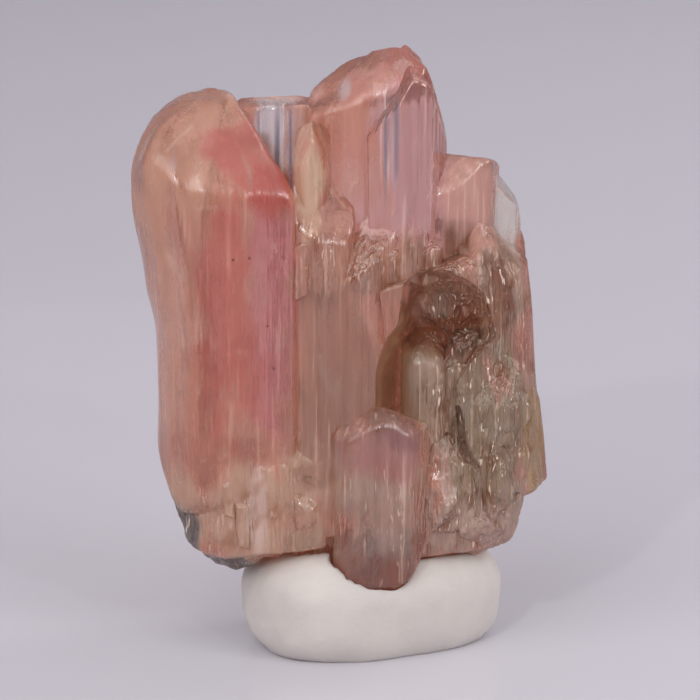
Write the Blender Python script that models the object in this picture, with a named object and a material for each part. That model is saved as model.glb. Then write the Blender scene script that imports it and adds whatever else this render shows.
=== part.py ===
"""A cluster of parallel tanzanite crystals, standing in a lump of white mineral putty.

Metres, +Z up along the crystals. The broad face of the cluster looks towards -Y. The putty's flat foot lies
on Z = 0, and the whole object is centred over the origin. The tables below give millimetres, which is how
crystals are measured.
"""

import math
import random

import bmesh
import bpy
from mathutils import Matrix, Vector, noise

MM = 0.001

# Driving dimensions, in millimetres
GAP = 0.3  # clearance between the putty and the crystals pressed into it
FLUTE_DEPTH = 0.11  # growth lines along the crystals
FLUTE_SHARE = (0.3, 1.0)  # of that depth, drawn for each flute
FLUTE_JITTER = (-0.25, 0.25)  # how far a flute strays, in steps along its side
BROAD_FLUTE_PITCH = 0.7
FINE_FLUTE_PITCH = 0.4
PUTTY_CENTRE = (1.35, 0.35, 1.9)
PUTTY_HALF_SIZE = (5.75, 4.15, 3.0)
PUTTY_TURN = math.radians(22)
PUTTY_SQUARENESS = 2.6  # 2 is an ellipsoid, higher is boxier
PUTTY_SEGMENTS = (56, 30)  # round and up
PUTTY_DENT_DEPTH = 0.045  # share of its size
PUTTY_DENTS_PER_MM = 0.32
PUTTY_DENT_PLACE = (4.0, 1.0, 2.0)
GOLDEN_SHARE = 0.618  # steps of this share of a width never bunch up

# Each crystal is an upright prism. Its section is the outline seen from above, anticlockwise. Each face of
# its ends is a point on that face and the face's slopes: its rise for each millimetre along X and along Y.
CRYSTALS = {
    "core": {
        "section": [
            (-6.4, -1.8), (0.0, -2.0), (4.0, -1.4), (7.0, 0.2), (7.3, 2.0), (4.5, 3.1), (-0.5, 3.7),
            (-5.5, 3.3),
        ],
        "heights": (4.9, 17.6),
        "top": [((0.0, 0.0, 17.4), (-0.08, 0.12))],
        "base": [
            ((-6.0, 0.0, 6.6), (-0.55, 0.0)), ((6.6, 0.0, 5.6), (0.7, 0.0)),
            ((0.0, 3.0, 6.0), (0.0, 0.9)),
        ],
    },
    "left_prism": {
        "section": [
            (-6.2, -3.3), (-4.2, -3.2), (-1.9, -2.75), (-1.55, -1.4), (-1.6, 1.9),
            (-3.2, 3.3), (-6.2, 3.5), (-7.9, 1.9), (-8.05, -0.1), (-7.55, -2.0),
        ],
        "heights": (5.6, 26.0),
        "top": [
            ((-6.0, -1.48, 23.2), (0.05, 1.6)),
            ((-6.0, -1.48, 23.2), (-0.29, 1.0)),
            ((-4.0, -0.24, 23.86), (-2.2, -0.62)),
            ((-5.4, 0.6, 24.6), (0.62, -0.3)),
            ((-5.2, 0.3, 24.8), (-0.1, -0.3)),
            ((-5.2, 1.2, 24.5), (0.0, -0.85)),
        ],
        "base": [
            ((-7.9, 0.0, 8.5), (-2.3, 0.1)), ((-5.6, -3.2, 7.0), (-0.1, -1.1)),
            ((-5.0, 3.0, 7.6), (0.0, 0.8)),
        ],
        "flutes": (BROAD_FLUTE_PITCH, 0.8),
    },
    "left_head": {
        "section": [
            (-6.1, -2.95), (-4.6, -2.6), (-4.4, 1.6), (-6.0, 3.1), (-8.1, 2.5), (-8.95, 1.0),
            (-8.98, -0.6), (-7.9, -2.2),
        ],
        "heights": (13.0, 26.0),
        "top": [
            ((-6.0, -1.4, 23.45), (0.2, 1.45)),
            ((-6.0, -1.48, 23.25), (-0.33, 1.0)),
            ((-8.9, 0.3, 21.3), (2.6, -0.35)),
            ((-8.3, 0.3, 22.9), (0.74, -0.3)),
            ((-6.6, 0.3, 24.25), (0.45, -0.2)),
            ((-5.0, 0.3, 24.8), (-1.3, 0.1)),
            ((-6.0, 1.6, 23.9), (0.2, -1.2)),
        ],
        "base": [
            ((-9.0, 0.0, 19.2), (-4.8, 0.0)), ((-7.4, -2.6, 15.0), (-1.2, -2.6)),
            ((-7.0, 2.6, 16.5), (0.0, 2.0)),
        ],
    },
    "window_plate": {
        "section": [(-4.4, -0.05), (-2.2, 0.2), (-1.0, 0.25), (-1.0, 1.15), (-2.6, 1.2), (-4.4, 1.0)],
        "heights": (16.5, 25.5),
        "top": [((-3.6, 0.5, 24.45), (-0.12, 0.2)), ((-2.1, 0.5, 24.05), (0.0, 0.3))],
        "base": [],
        "flutes": (FINE_FLUTE_PITCH, 0.5),
    },
    "lens_crystal": {
        "section": [
            (-1.95, -1.6), (-1.6, -2.1), (-1.0, -2.2), (-0.55, -1.8), (-0.2, -0.6), (-1.9, -0.2),
        ],
        "heights": (15.5, 24.5),
        "top": [
            ((-1.15, -1.9, 23.35), (2.4, 0.9)), ((-1.15, -1.9, 23.35), (-1.5, 0.9)),
            ((-1.2, -1.2, 23.6), (0.0, -0.6)),
        ],
        "base": [],
    },
    "right_peak": {
        "section": [
            (-1.35, -0.5), (0.5, -1.3), (3.3, -1.1), (4.5, 0.0), (4.72, 1.2), (3.9, 3.0), (1.2, 3.7),
            (-1.2, 2.9),
        ],
        "heights": (14.0, 28.0),
        "top": [
            ((2.25, 0.5, 26.45), (0.62, 0.62)),
            ((0.6, -1.1, 24.7), (0.2, 1.5)),
            ((2.6, 0.5, 26.4), (-0.8, -0.3)),
            ((3.75, 0.5, 25.35), (-3.3, -0.3)),
            ((2.2, 0.8, 26.45), (0.1, -0.95)),
            ((-0.6, 1.2, 25.0), (0.9, -0.2)),
        ],
        "base": [],
        "flutes": (BROAD_FLUTE_PITCH, 0.7),
    },
    "striated_column": {
        "section": [(1.25, -1.75), (2.75, -1.95), (4.1, -1.2), (4.68, 0.5), (2.4, 1.0), (1.15, -0.2)],
        "heights": (12.0, 28.0),
        "top": [
            ((2.9, -1.7, 25.15), (1.42, 0.62)),
            ((3.1, -0.3, 26.05), (-0.75, 0.3)),
            ((3.8, -0.3, 25.3), (-3.4, -0.2)),
        ],
        "base": [],
        "flutes": (FINE_FLUTE_PITCH, 1.0),
    },
    "shoulder": {
        "section": [(3.6, -0.9), (5.1, -0.75), (6.6, 0.1), (6.95, 1.4), (6.2, 2.9), (4.2, 3.3)],
        "heights": (12.0, 24.0),
        "top": [
            ((5.0, 0.8, 21.7), (-0.12, -0.27)),
            ((5.2, -0.5, 20.9), (0.25, 1.05)),
            ((6.8, 0.8, 21.35), (-2.6, 0.2)),
            ((5.5, 2.2, 21.6), (0.1, -0.8)),
        ],
        "base": [],
        "flutes": (BROAD_FLUTE_PITCH, 0.6),
    },
    "clear_crystal": {
        "section": [(6.0, 1.0), (7.2, 0.75), (7.95, 1.3), (7.98, 2.2), (7.2, 3.0), (6.2, 2.9)],
        "heights": (13.0, 22.0),
        "top": [
            ((7.15, 1.6, 20.1), (-1.1, 0.1)), ((6.4, 1.6, 20.7), (-0.5, 0.2)),
            ((7.9, 1.6, 18.9), (-3.6, 0.2)),
        ],
        "base": [((7.9, 1.6, 17.6), (2.6, 0.0))],
    },
    "ridge_layer": {
        "section": [
            (-1.98, -2.4), (-1.6, -2.7), (-0.9, -2.85), (0.25, -2.7), (0.7, -1.9), (0.4, 0.4), (-1.9, 0.4),
        ],
        "heights": (5.4, 21.0),
        "top": [((-1.0, -2.8, 18.9), (-0.15, 1.5)), ((-0.2, -2.7, 18.8), (-0.55, 1.2))],
        "base": [],
        "flutes": (FINE_FLUTE_PITCH, 1.2),
    },
    "middle_layer": {
        "section": [
            (-0.3, -2.5), (0.3, -2.85), (1.5, -2.75), (1.75, -2.5), (2.4, -1.9), (2.4, 0.4), (-0.2, 0.4),
        ],
        "heights": (5.2, 20.5),
        "top": [((0.3, -2.7, 18.5), (-0.42, 1.6)), ((1.4, -2.6, 17.8), (0.5, 1.3))],
        "base": [],
        "flutes": (BROAD_FLUTE_PITCH, 0.9),
    },
    "right_layer": {
        "section": [
            (1.4, -2.55), (3.2, -2.5), (5.2, -1.9), (7.2, -0.7), (7.95, 0.7), (7.85, 2.3), (5.0, 3.5),
            (1.5, 2.8),
        ],
        "heights": (5.6, 20.5),
        "lean": (-0.085, 0.0),
        "top": [
            ((1.7, -2.5, 18.05), (0.25, 1.1)),
            ((3.2, -2.4, 17.9), (-0.55, 1.1)),
            ((7.2, -0.3, 17.3), (-0.9, 0.6)),
            ((6.2, 0.5, 18.1), (0.3, 0.1)),
        ],
        "base": [((7.6, 0.5, 6.9), (1.4, 0.0))],
        "flutes": (BROAD_FLUTE_PITCH, 0.9),
    },
    "right_ledge": {
        "section": [(5.1, -1.6), (6.1, -1.5), (7.2, -0.6), (7.55, 0.6), (6.6, 1.2), (5.2, 0.4)],
        "heights": (12.0, 20.5),
        "top": [
            ((5.9, -1.2, 17.95), (1.0, 1.0)), ((6.4, -0.9, 18.1), (-0.75, 0.8)),
            ((7.3, -0.3, 17.3), (-1.8, 0.3)),
        ],
        "base": [],
    },
    "olive_edge": {
        "section": [(6.8, -0.8), (8.0, -0.4), (8.6, 0.6), (8.4, 2.0), (6.8, 2.4)],
        "heights": (6.2, 13.0),
        "lean": (-0.11, 0.0),
        "top": [((8.5, 0.6, 11.6), (-2.6, 0.4)), ((8.0, 0.6, 12.6), (-0.9, 0.5))],
        "base": [((9.0, 0.6, 6.9), (0.75, -0.2)), ((8.2, -0.2, 6.4), (0.2, -0.6))],
    },
    "lower_front_crystal": {
        "section": [
            (-0.25, -2.9), (0.4, -3.5), (1.7, -3.75), (3.0, -3.45), (3.95, -2.4), (3.7, -0.4),
            (-0.1, -0.4),
        ],
        "heights": (2.6, 12.5),
        "top": [((1.0, -3.55, 10.35), (0.75, 1.0)), ((2.5, -3.5, 10.3), (-0.79, 1.0))],
        "base": [
            ((1.3, -3.2, 2.95), (0.12, -0.95)), ((1.2, -2.0, 2.75), (0.0, 0.05)),
            ((2.6, -2.6, 3.1), (0.75, -0.3)),
            ((3.5, -2.4, 4.3), (1.9, -0.2)), ((-0.1, -2.9, 3.6), (-0.6, -0.3)),
        ],
        "flutes": (FINE_FLUTE_PITCH, 1.0),
    },
    "lower_right_chunk": {
        "section": [
            (3.3, -2.35), (5.2, -2.1), (7.2, -0.9), (8.1, 0.6), (7.8, 2.0), (5.2, 2.7), (3.2, 2.2),
        ],
        "heights": (3.2, 8.6),
        "top": [((5.0, -2.0, 7.4), (0.25, 0.8)), ((7.6, 0.0, 7.3), (-0.5, 0.6))],
        "base": [
            ((4.6, -1.8, 4.35), (0.16, -0.35)), ((6.6, 0.0, 4.15), (0.75, -0.1)),
            ((7.5, 0.4, 5.2), (2.4, 0.0)),
            ((5.0, 2.0, 4.2), (0.0, 0.9)),
        ],
    },
    "left_foot": {
        "section": [(-6.9, -0.7), (-6.0, -2.2), (-3.2, -2.1), (-2.6, -0.8), (-2.8, 1.9), (-6.2, 1.8)],
        "heights": (3.0, 8.4),
        "top": [((-6.8, 0.0, 7.2), (0.6, 0.3))],
        "base": [
            ((-6.85, -0.5, 5.9), (-2.6, 0.0)), ((-6.0, -1.0, 4.25), (-0.9, -0.1)),
            ((-4.2, -1.6, 3.75), (-0.35, -0.25)),
            ((-3.2, -1.6, 3.3), (0.4, -0.3)), ((-4.0, 1.4, 4.2), (0.0, 0.8)),
        ],
    },
    "root": {
        "section": [(-1.1, -2.1), (3.2, -1.9), (4.4, 0.2), (3.6, 1.9), (-0.4, 2.1), (-1.5, 0.3)],
        "heights": (2.75, 7.5),
        "top": [],
        "base": [((-0.9, 0.0, 3.4), (-0.55, 0.0)), ((3.8, 0.0, 3.2), (0.5, 0.1))],
    },
    "pit_crystal": {
        "section": [
            (2.8, -1.2), (3.1, -1.9), (3.7, -2.2), (4.3, -2.0), (4.75, -1.3), (4.75, 0.9), (2.8, 0.9),
        ],
        "heights": (8.0, 15.0),
        "top": [
            ((3.7, -1.6, 13.75), (0.2, 0.35)), ((4.2, -1.7, 13.4), (-0.75, 0.5)),
            ((4.7, -1.6, 12.7), (-2.4, 0.4)),
            ((2.95, -1.7, 13.2), (1.5, 0.5)), ((3.7, -2.1, 13.3), (0.0, 1.6)),
        ],
        "base": [],
        "flutes": (FINE_FLUTE_PITCH, 0.7),
    },
    "back_left": {
        "section": [(-6.9, 1.6), (-3.0, 1.6), (-2.3, 3.2), (-3.6, 4.3), (-5.8, 4.4), (-7.2, 3.2)],
        "heights": (7.0, 23.0),
        "top": [((-4.4, 3.6, 20.6), (-0.4, -1.3)), ((-6.4, 3.2, 19.4), (0.9, -0.4))],
        "base": [((-4.6, 3.8, 8.2), (0.2, 1.1))],
        "flutes": (BROAD_FLUTE_PITCH, 1.0),
    },
    "back_middle": {
        "section": [(-2.4, 1.8), (1.9, 2.0), (2.4, 3.7), (0.9, 4.6), (-1.2, 4.5), (-2.6, 3.4)],
        "heights": (5.6, 20.0),
        "top": [((0.0, 4.0, 15.8), (0.55, -1.2)), ((1.8, 3.6, 16.2), (-0.9, -0.5))],
        "base": [((0.0, 4.2, 6.2), (-0.1, 1.3))],
        "flutes": (FINE_FLUTE_PITCH, 1.1),
    },
    "back_right": {
        "section": [(2.2, 1.8), (6.0, 1.4), (6.6, 2.9), (5.2, 4.0), (3.2, 4.1), (2.0, 3.2)],
        "heights": (6.4, 20.0),
        "top": [((4.2, 3.6, 18.4), (-0.5, -1.1)), ((3.0, 3.4, 18.0), (1.1, -0.4))],
        "base": [((4.4, 3.6, 7.6), (0.3, 1.2))],
        "flutes": (BROAD_FLUTE_PITCH, 0.9),
    },
}

# Each lump is a ball that is stretched, made uneven and chipped flat in a few places.
LUMPS = {
    "cloudy_lump": {"centre": (-4.3, -1.6, 6.6), "half_size": (2.7, 2.1, 2.95), "chips": 18, "seed": 3},
    "cloudy_lump_right": {"centre": (-1.9, -2.0, 6.4), "half_size": (2.1, 1.6, 2.6), "chips": 16, "seed": 8},
    "grey_lump": {"centre": (6.2, -0.85, 10.6), "half_size": (1.5, 1.5, 3.1), "chips": 18, "seed": 5},
    "grey_lump_low": {"centre": (6.6, -0.75, 7.9), "half_size": (1.5, 1.5, 2.4), "chips": 16, "seed": 25},
    "grey_foot": {"centre": (4.6, -1.7, 7.4), "half_size": (1.4, 1.3, 2.5), "chips": 14, "seed": 14},
    "pink_foot": {"centre": (6.2, -0.6, 5.9), "half_size": (1.9, 1.6, 1.8), "chips": 14, "seed": 33},
}

LUMP_SWELL = 1.02  # size of the uneven ball before it is chipped
LUMP_UNEVENNESS = 0.16
LUMP_DENTS_PER_RADIUS = 1.7
LUMP_CHIP_REACH = (0.76, 0.96)  # share of the half size at which a chip's face lies

# Broken splinters stand side by side in the rough zones. A zone recedes along Y by its slant as it goes to
# the right.
SPLINTERS = {
    "grey_splinter": {
        "low": (4.8, -1.35, 6.2), "high": (7.7, -0.95, 12.6),
        "slant": 0.5, "count": 13, "seed": 4,
    },
    "pale_splinter": {
        "low": (-5.6, -3.0, 6.0), "high": (-1.2, -2.8, 7.6),
        "slant": 0.0, "count": 4, "seed": 9,
    },
    "shelf_splinter": {
        "low": (-1.6, -2.75, 16.0), "high": (7.2, -2.5, 17.0),
        "slant": 0.3, "count": 8, "seed": 12,
    },
}
SPLINTER_SIDES = 6
SPLINTER_RADIUS = (0.35, 0.8)
SPLINTER_CORNER_REACH = (0.75, 1.1)  # share of the radius at which a corner stands
SPLINTER_HEIGHT = (1.1, 2.6)
SPLINTER_JITTER = (0.2, 0.8)  # share of its own step in height at which a splinter stands
SPLINTER_LEAN_X = (-0.08, 0.08)
SPLINTER_LEAN_Y = (-0.05, 0.05)
SPLINTER_TOP_SLOPES = ((-0.9, 0.9), (0.2, 1.2))
SPLINTER_BASE_SLOPES = ((-0.5, 0.5), (-0.9, 0.0))

# Each hollow is an outline in X and Z, cut into the front like a bowl, from its mouth to its floor. The
# floor is the outline at a smaller scale, and it lies further forward by its rise for each millimetre up.
HOLLOW_STEPS = 4
HOLLOW_MOUTH_SCALE = 1.06
HOLLOWS = {
    "pit": {
        "outline": [
            (1.65, 10.3), (1.6, 12.9), (1.95, 14.2), (2.5, 14.9), (2.95, 15.8), (3.35, 16.7), (4.4, 16.9),
            (5.5, 16.7), (6.4, 15.9), (7.1, 15.0), (7.15, 14.3), (5.9, 13.3), (5.1, 12.2), (5.15, 9.6),
            (3.4, 9.2),
        ],
        "mouth": -4.6,
        "floor": 0.1,
        "floor_scale": 0.5,
        "rise": 0.3,
    },
    "notch": {
        "outline": [(-1.65, 7.9), (-1.7, 8.5), (-1.0, 8.75), (-0.25, 8.7), (-0.2, 8.0), (-0.9, 7.7)],
        "mouth": -4.6,
        "floor": -2.0,
        "floor_scale": 0.5,
        "rise": 0.2,
    },
    "groove": {
        "outline": [(4.85, 11.6), (5.25, 11.6), (5.6, 9.5), (6.45, 7.9), (6.1, 7.6), (5.2, 9.0)],
        "mouth": -4.0,
        "floor": -0.9,
        "floor_scale": 0.5,
        "rise": 0.0,
    },
}

# The crystals and lumps whose bases lie in the putty's socket
PRESSED_IN = ("lower_front_crystal", "root", "lower_right_chunk", "left_foot")
LUMPS_PRESSED_IN = ("cloudy_lump", "cloudy_lump_right", "grey_foot", "pink_foot")


def clear_scene():
    for old in list(bpy.data.objects):
        bpy.data.objects.remove(old, do_unlink=True)


def link_mesh(name, body):
    """A new object that holds the bmesh, with its faces turned outwards."""
    bmesh.ops.recalc_face_normals(body, faces=body.faces)
    mesh = bpy.data.meshes.new(name)
    body.to_mesh(mesh)
    body.free()
    obj = bpy.data.objects.new(name, mesh)
    bpy.context.scene.collection.objects.link(obj)
    return obj


def hide_helper(obj):
    obj.hide_render = True
    obj.display_type = "WIRE"
    return obj


def cut_away(body, point, normal):
    """Removes what lies on the normal's side of a plane, and closes the cut."""
    everything = body.verts[:] + body.edges[:] + body.faces[:]
    bmesh.ops.bisect_plane(
        body, geom=everything, plane_co=point, plane_no=normal, clear_outer=True, dist=1e-7
    )
    rim = [edge for edge in body.edges if edge.is_boundary]
    if rim:
        bmesh.ops.holes_fill(body, edges=rim, sides=0)


def with_flutes(section, pitch, strength, seed):
    """The section with shallow uneven flutes along its sides. The corners stay where they are."""
    draw = random.Random(seed)
    fluted = []
    for start, end in zip(section, section[1:] + section[:1]):
        along = Vector(end) - Vector(start)
        outward = Vector((along.y, -along.x)).normalized()
        steps = max(1, round(along.length / pitch))
        fluted.append(Vector(start))
        for step in range(1, steps):
            share = (step + draw.uniform(*FLUTE_JITTER)) / steps
            depth = FLUTE_DEPTH * strength * draw.uniform(*FLUTE_SHARE) * (-1) ** step
            fluted.append(Vector(start) + along * share + outward * depth)
    return [tuple(point) for point in fluted]


def grown(section, amount):
    """The section with each side moved outwards by an amount."""
    moved = []
    for before, here, after in zip(section[-1:] + section[:-1], section, section[1:] + section[:1]):
        first = (Vector(here) - Vector(before)).normalized()
        second = (Vector(after) - Vector(here)).normalized()
        outward = Vector((first.y, -first.x)) + Vector((second.y, -second.x))
        moved.append(tuple(Vector(here) + outward * amount / max(0.6, outward.length_squared / 2)))
    return moved


def make_crystal(name, spec, seed, extra=0.0):
    """A fluted prism, cut by the faces of its two ends. Extra makes it larger all round, for a cutter."""
    section = spec["section"]
    if extra:
        section = grown(section, extra)
    elif "flutes" in spec:
        section = with_flutes(section, *spec["flutes"], seed)
    low, high = spec["heights"]
    body = bmesh.new()
    foot = body.faces.new([body.verts.new((x * MM, y * MM, (low - extra) * MM)) for x, y in section])
    raised = bmesh.ops.extrude_face_region(body, geom=[foot])["geom"]
    raised = [item for item in raised if isinstance(item, bmesh.types.BMVert)]
    bmesh.ops.translate(body, verts=raised, vec=(0, 0, (high - low + 2 * extra) * MM))
    lean_x, lean_y = spec.get("lean", (0.0, 0.0))
    for vert in body.verts:
        rise = vert.co.z - high * MM
        vert.co.x += lean_x * rise
        vert.co.y += lean_y * rise
    for ends, side in ((spec["top"], 1), (spec["base"], -1)):
        for point, (slope_x, slope_y) in ends:
            normal = Vector((-slope_x, -slope_y, 1)).normalized() * side
            cut_away(body, (Vector(point) + normal * extra) * MM, normal)
    return link_mesh(name, body)


def make_lump(name, spec, extra=0.0):
    """An uneven stretched ball with flat chips. Extra makes it larger all round, for a cutter."""
    draw = random.Random(spec["seed"])
    centre, half = Vector(spec["centre"]), Vector(spec["half_size"])
    body = bmesh.new()
    bmesh.ops.create_icosphere(body, subdivisions=3, radius=1.0)
    for vert in body.verts:
        direction = vert.co.normalized()
        dent = noise.noise(direction * LUMP_DENTS_PER_RADIUS + Vector((spec["seed"], 0, 0)))
        swell = LUMP_SWELL + LUMP_UNEVENNESS * dent
        vert.co = (centre + direction * (half * swell + Vector((extra, extra, extra)))) * MM
    for _ in range(spec["chips"]):
        direction = Vector([draw.gauss(0, 1) for _ in range(3)]).normalized()
        face = centre + direction * half * draw.uniform(*LUMP_CHIP_REACH)
        normal = Vector([direction[axis] / half[axis] for axis in range(3)]).normalized()
        cut_away(body, (face + normal * extra) * MM, normal)
    return link_mesh(name, body)


def drawn_slopes(draw, ranges):
    """A slope along X and one along Y, each from its own range."""
    return tuple(draw.uniform(*limits) for limits in ranges)


def make_splinters(name, spec):
    """Small six-sided crystals with slanting broken ends, spread evenly over a zone."""
    draw = random.Random(spec["seed"])
    (left, front, low), (right, back, high) = spec["low"], spec["high"]
    splinters = []
    for index in range(spec["count"]):
        x = left + (right - left) * ((index + 0.5) * GOLDEN_SHARE % 1)
        y = draw.uniform(front, back) + spec["slant"] * (x - left)
        z = low + (high - low) * (index + draw.uniform(*SPLINTER_JITTER)) / spec["count"]
        radius, height = draw.uniform(*SPLINTER_RADIUS), draw.uniform(*SPLINTER_HEIGHT)
        step = 2 * math.pi / SPLINTER_SIDES
        turn = draw.uniform(0, step)
        section = []
        for side in range(SPLINTER_SIDES):
            reach, angle = radius * draw.uniform(*SPLINTER_CORNER_REACH), turn + step * side
            section.append((x + reach * math.cos(angle), y + reach * math.sin(angle)))
        form = {
            "section": section,
            "heights": (z - 2 * height, z + 2 * height),
            "lean": (draw.uniform(*SPLINTER_LEAN_X), draw.uniform(*SPLINTER_LEAN_Y)),
            "top": [((x, y, z + height / 2), drawn_slopes(draw, SPLINTER_TOP_SLOPES)) for _ in range(2)],
            "base": [((x, y, z - height / 2), drawn_slopes(draw, SPLINTER_BASE_SLOPES))],
        }
        splinters.append(make_crystal(f"{name}_{index + 1}", form, index))
    return splinters


def make_hollow(name, spec):
    """A cutter shaped like a bowl, with its mouth in front and its floor behind."""
    outline = spec["outline"]
    middle_x = sum(x for x, _ in outline) / len(outline)
    middle_z = sum(z for _, z in outline) / len(outline)
    body = bmesh.new()
    loops = []
    for step in range(HOLLOW_STEPS + 1):
        angle = math.pi / 2 * step / HOLLOW_STEPS
        depth = math.sin(angle)
        scale = spec["floor_scale"] + (HOLLOW_MOUTH_SCALE - spec["floor_scale"]) * math.cos(angle)
        middle_y = spec["mouth"] + depth * (spec["floor"] - spec["mouth"])
        ring = []
        for x, z in outline:
            across, up = (x - middle_x) * scale, (z - middle_z) * scale
            place = Vector((middle_x + across, middle_y - spec["rise"] * depth * up, middle_z + up))
            ring.append(body.verts.new(place * MM))
        loops.append(ring)
    body.faces.new(loops[0])
    body.faces.new(loops[-1])
    for outer, inner in zip(loops, loops[1:]):
        for index in range(len(outline)):
            after = (index + 1) % len(outline)
            body.faces.new((outer[index], outer[after], inner[after], inner[index]))
    return hide_helper(link_mesh(name, body))


def make_putty(name):
    """A squarish lump, pressed uneven by fingers, with a flat foot."""
    body = bmesh.new()
    around, upwards = PUTTY_SEGMENTS
    bmesh.ops.create_uvsphere(body, u_segments=around, v_segments=upwards, radius=1.0)
    half = Vector(PUTTY_HALF_SIZE)
    for vert in body.verts:
        reach = sum(abs(value) ** PUTTY_SQUARENESS for value in vert.co) ** (-1 / PUTTY_SQUARENESS)
        shape = Vector([vert.co[axis] * reach * half[axis] for axis in range(3)])
        dents = 1 + PUTTY_DENT_DEPTH * noise.noise(shape * PUTTY_DENTS_PER_MM + Vector(PUTTY_DENT_PLACE))
        vert.co = shape * dents * MM
    bmesh.ops.rotate(body, verts=body.verts, cent=(0, 0, 0), matrix=Matrix.Rotation(PUTTY_TURN, 3, "Z"))
    bmesh.ops.translate(body, verts=body.verts, vec=Vector(PUTTY_CENTRE) * MM)
    cut_away(body, (0, 0, 0), (0, 0, -1))
    return link_mesh(name, body)


def add_boolean(obj, other, operation):
    step = obj.modifiers.new(other.name, "BOOLEAN")
    step.operation = operation
    step.solver = "EXACT"
    step.object = other
    return step


def make_material(name, colour, roughness, transmission=0.0, ior=1.5):
    material = bpy.data.materials.new(name)
    material.use_nodes = True
    shader = material.node_tree.nodes["Principled BSDF"]
    shader.inputs["Base Color"].default_value = (*colour, 1.0)
    shader.inputs["Roughness"].default_value = roughness
    shader.inputs["Metallic"].default_value = 0.0
    shader.inputs["Transmission Weight"].default_value = transmission
    shader.inputs["IOR"].default_value = ior
    material.diffuse_color = (*colour, 1.0)
    return material


def make_cluster():
    """The crystals and lumps joined into the core, less the hollows. The pit's own crystal comes last."""
    names = [name for name in CRYSTALS if name != "pit_crystal"]
    cluster = make_crystal("tanzanite_crystal", CRYSTALS["core"], 0)
    for seed, name in enumerate(names[1:], start=1):
        add_boolean(cluster, hide_helper(make_crystal(name, CRYSTALS[name], seed)), "UNION")
    add_boolean(cluster, make_hollow("pit", HOLLOWS["pit"]), "DIFFERENCE")
    lumps = [make_lump(name, spec) for name, spec in LUMPS.items()]
    for name, spec in SPLINTERS.items():
        lumps += make_splinters(name, spec)
    for lump in lumps:
        add_boolean(cluster, hide_helper(lump), "UNION")
    for name in ("notch", "groove"):
        add_boolean(cluster, make_hollow(name, HOLLOWS[name]), "DIFFERENCE")
    inner = hide_helper(make_crystal("pit_crystal", CRYSTALS["pit_crystal"], len(names)))
    add_boolean(cluster, inner, "UNION")
    return cluster


def make_base():
    """The putty, with a socket that clears the crystals pressed into it."""
    base = make_putty("putty_base")
    cutters = [make_crystal(name + "_socket", CRYSTALS[name], 0, GAP) for name in PRESSED_IN]
    cutters += [make_lump(name + "_socket", LUMPS[name], GAP) for name in LUMPS_PRESSED_IN]
    hide_helper(cutters[0])
    for cutter in cutters[1:]:
        add_boolean(cutters[0], hide_helper(cutter), "UNION")
    add_boolean(base, cutters[0], "DIFFERENCE")
    base.data.shade_smooth()
    return base


def centre_over_origin(parts):
    """Parents everything to one empty, and moves it so that the parts' box is centred over the origin."""
    anchor = bpy.data.objects.new("cluster_origin", None)
    bpy.context.scene.collection.objects.link(anchor)
    for obj in bpy.data.objects:
        if obj is not anchor:
            obj.parent = anchor
    bpy.context.view_layer.update()
    graph = bpy.context.evaluated_depsgraph_get()
    corners = [Vector(corner) for part in parts for corner in part.evaluated_get(graph).bound_box]
    for axis in (0, 1):
        places = [corner[axis] for corner in corners]
        anchor.location[axis] = -(min(places) + max(places)) / 2


def main():
    clear_scene()
    cluster = make_cluster()
    base = make_base()
    cluster.data.materials.append(make_material("pink_tanzanite", (0.62, 0.30, 0.24), 0.18, 0.6, 1.69))
    base.data.materials.append(make_material("white_putty", (0.74, 0.71, 0.69), 0.6))
    centre_over_origin([cluster, base])


main()
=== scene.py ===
import math
import random

import bpy
import numpy as np
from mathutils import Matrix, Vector


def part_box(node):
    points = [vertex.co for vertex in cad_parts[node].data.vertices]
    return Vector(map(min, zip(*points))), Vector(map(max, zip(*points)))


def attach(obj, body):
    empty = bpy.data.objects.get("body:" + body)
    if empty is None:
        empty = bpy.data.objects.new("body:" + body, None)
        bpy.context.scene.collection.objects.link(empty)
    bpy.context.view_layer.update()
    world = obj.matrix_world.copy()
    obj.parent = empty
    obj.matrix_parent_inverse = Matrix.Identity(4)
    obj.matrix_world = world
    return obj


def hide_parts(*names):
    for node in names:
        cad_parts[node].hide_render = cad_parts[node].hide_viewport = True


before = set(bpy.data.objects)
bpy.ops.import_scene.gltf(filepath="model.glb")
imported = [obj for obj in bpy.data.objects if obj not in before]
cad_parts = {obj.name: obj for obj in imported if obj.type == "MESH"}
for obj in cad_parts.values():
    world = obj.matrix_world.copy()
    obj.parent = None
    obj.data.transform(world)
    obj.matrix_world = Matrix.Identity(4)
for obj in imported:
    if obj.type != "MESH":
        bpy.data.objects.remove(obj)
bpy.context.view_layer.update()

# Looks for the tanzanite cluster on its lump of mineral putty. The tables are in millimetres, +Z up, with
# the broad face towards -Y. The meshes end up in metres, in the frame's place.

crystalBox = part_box("tanzanite_crystal")
mm = 0.001
fullTurn = 2 * np.pi

# Waves that the patterns are summed from: how many, how much each step is finer or shallower, how far their
# pitches spread, and the height of their sum
lineWaves = {"count": 4, "finer": 0.6, "shallower": 0.65, "spread": (0.8, 1.25), "height": 2.3}
softWaves = {"count": 9, "shallower": 1.8, "spread": (0.7, 1.3), "height": 3.5}


def fineLines(along, seed, pitch, depth):
    # A sum of triangle waves, 2/pi asin(sin(k s + p)), each finer and shallower than the one before
    draw = np.random.default_rng(seed)
    total = np.zeros_like(along)
    for order in range(lineWaves["count"]):
        k = fullTurn / (pitch * draw.uniform(*lineWaves["spread"]) * lineWaves["finer"] ** order)
        wave = np.arcsin(np.sin(k * along + draw.uniform(0, fullTurn)))
        total += lineWaves["shallower"] ** order * 2 / np.pi * wave
    return depth * total / lineWaves["height"]


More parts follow.
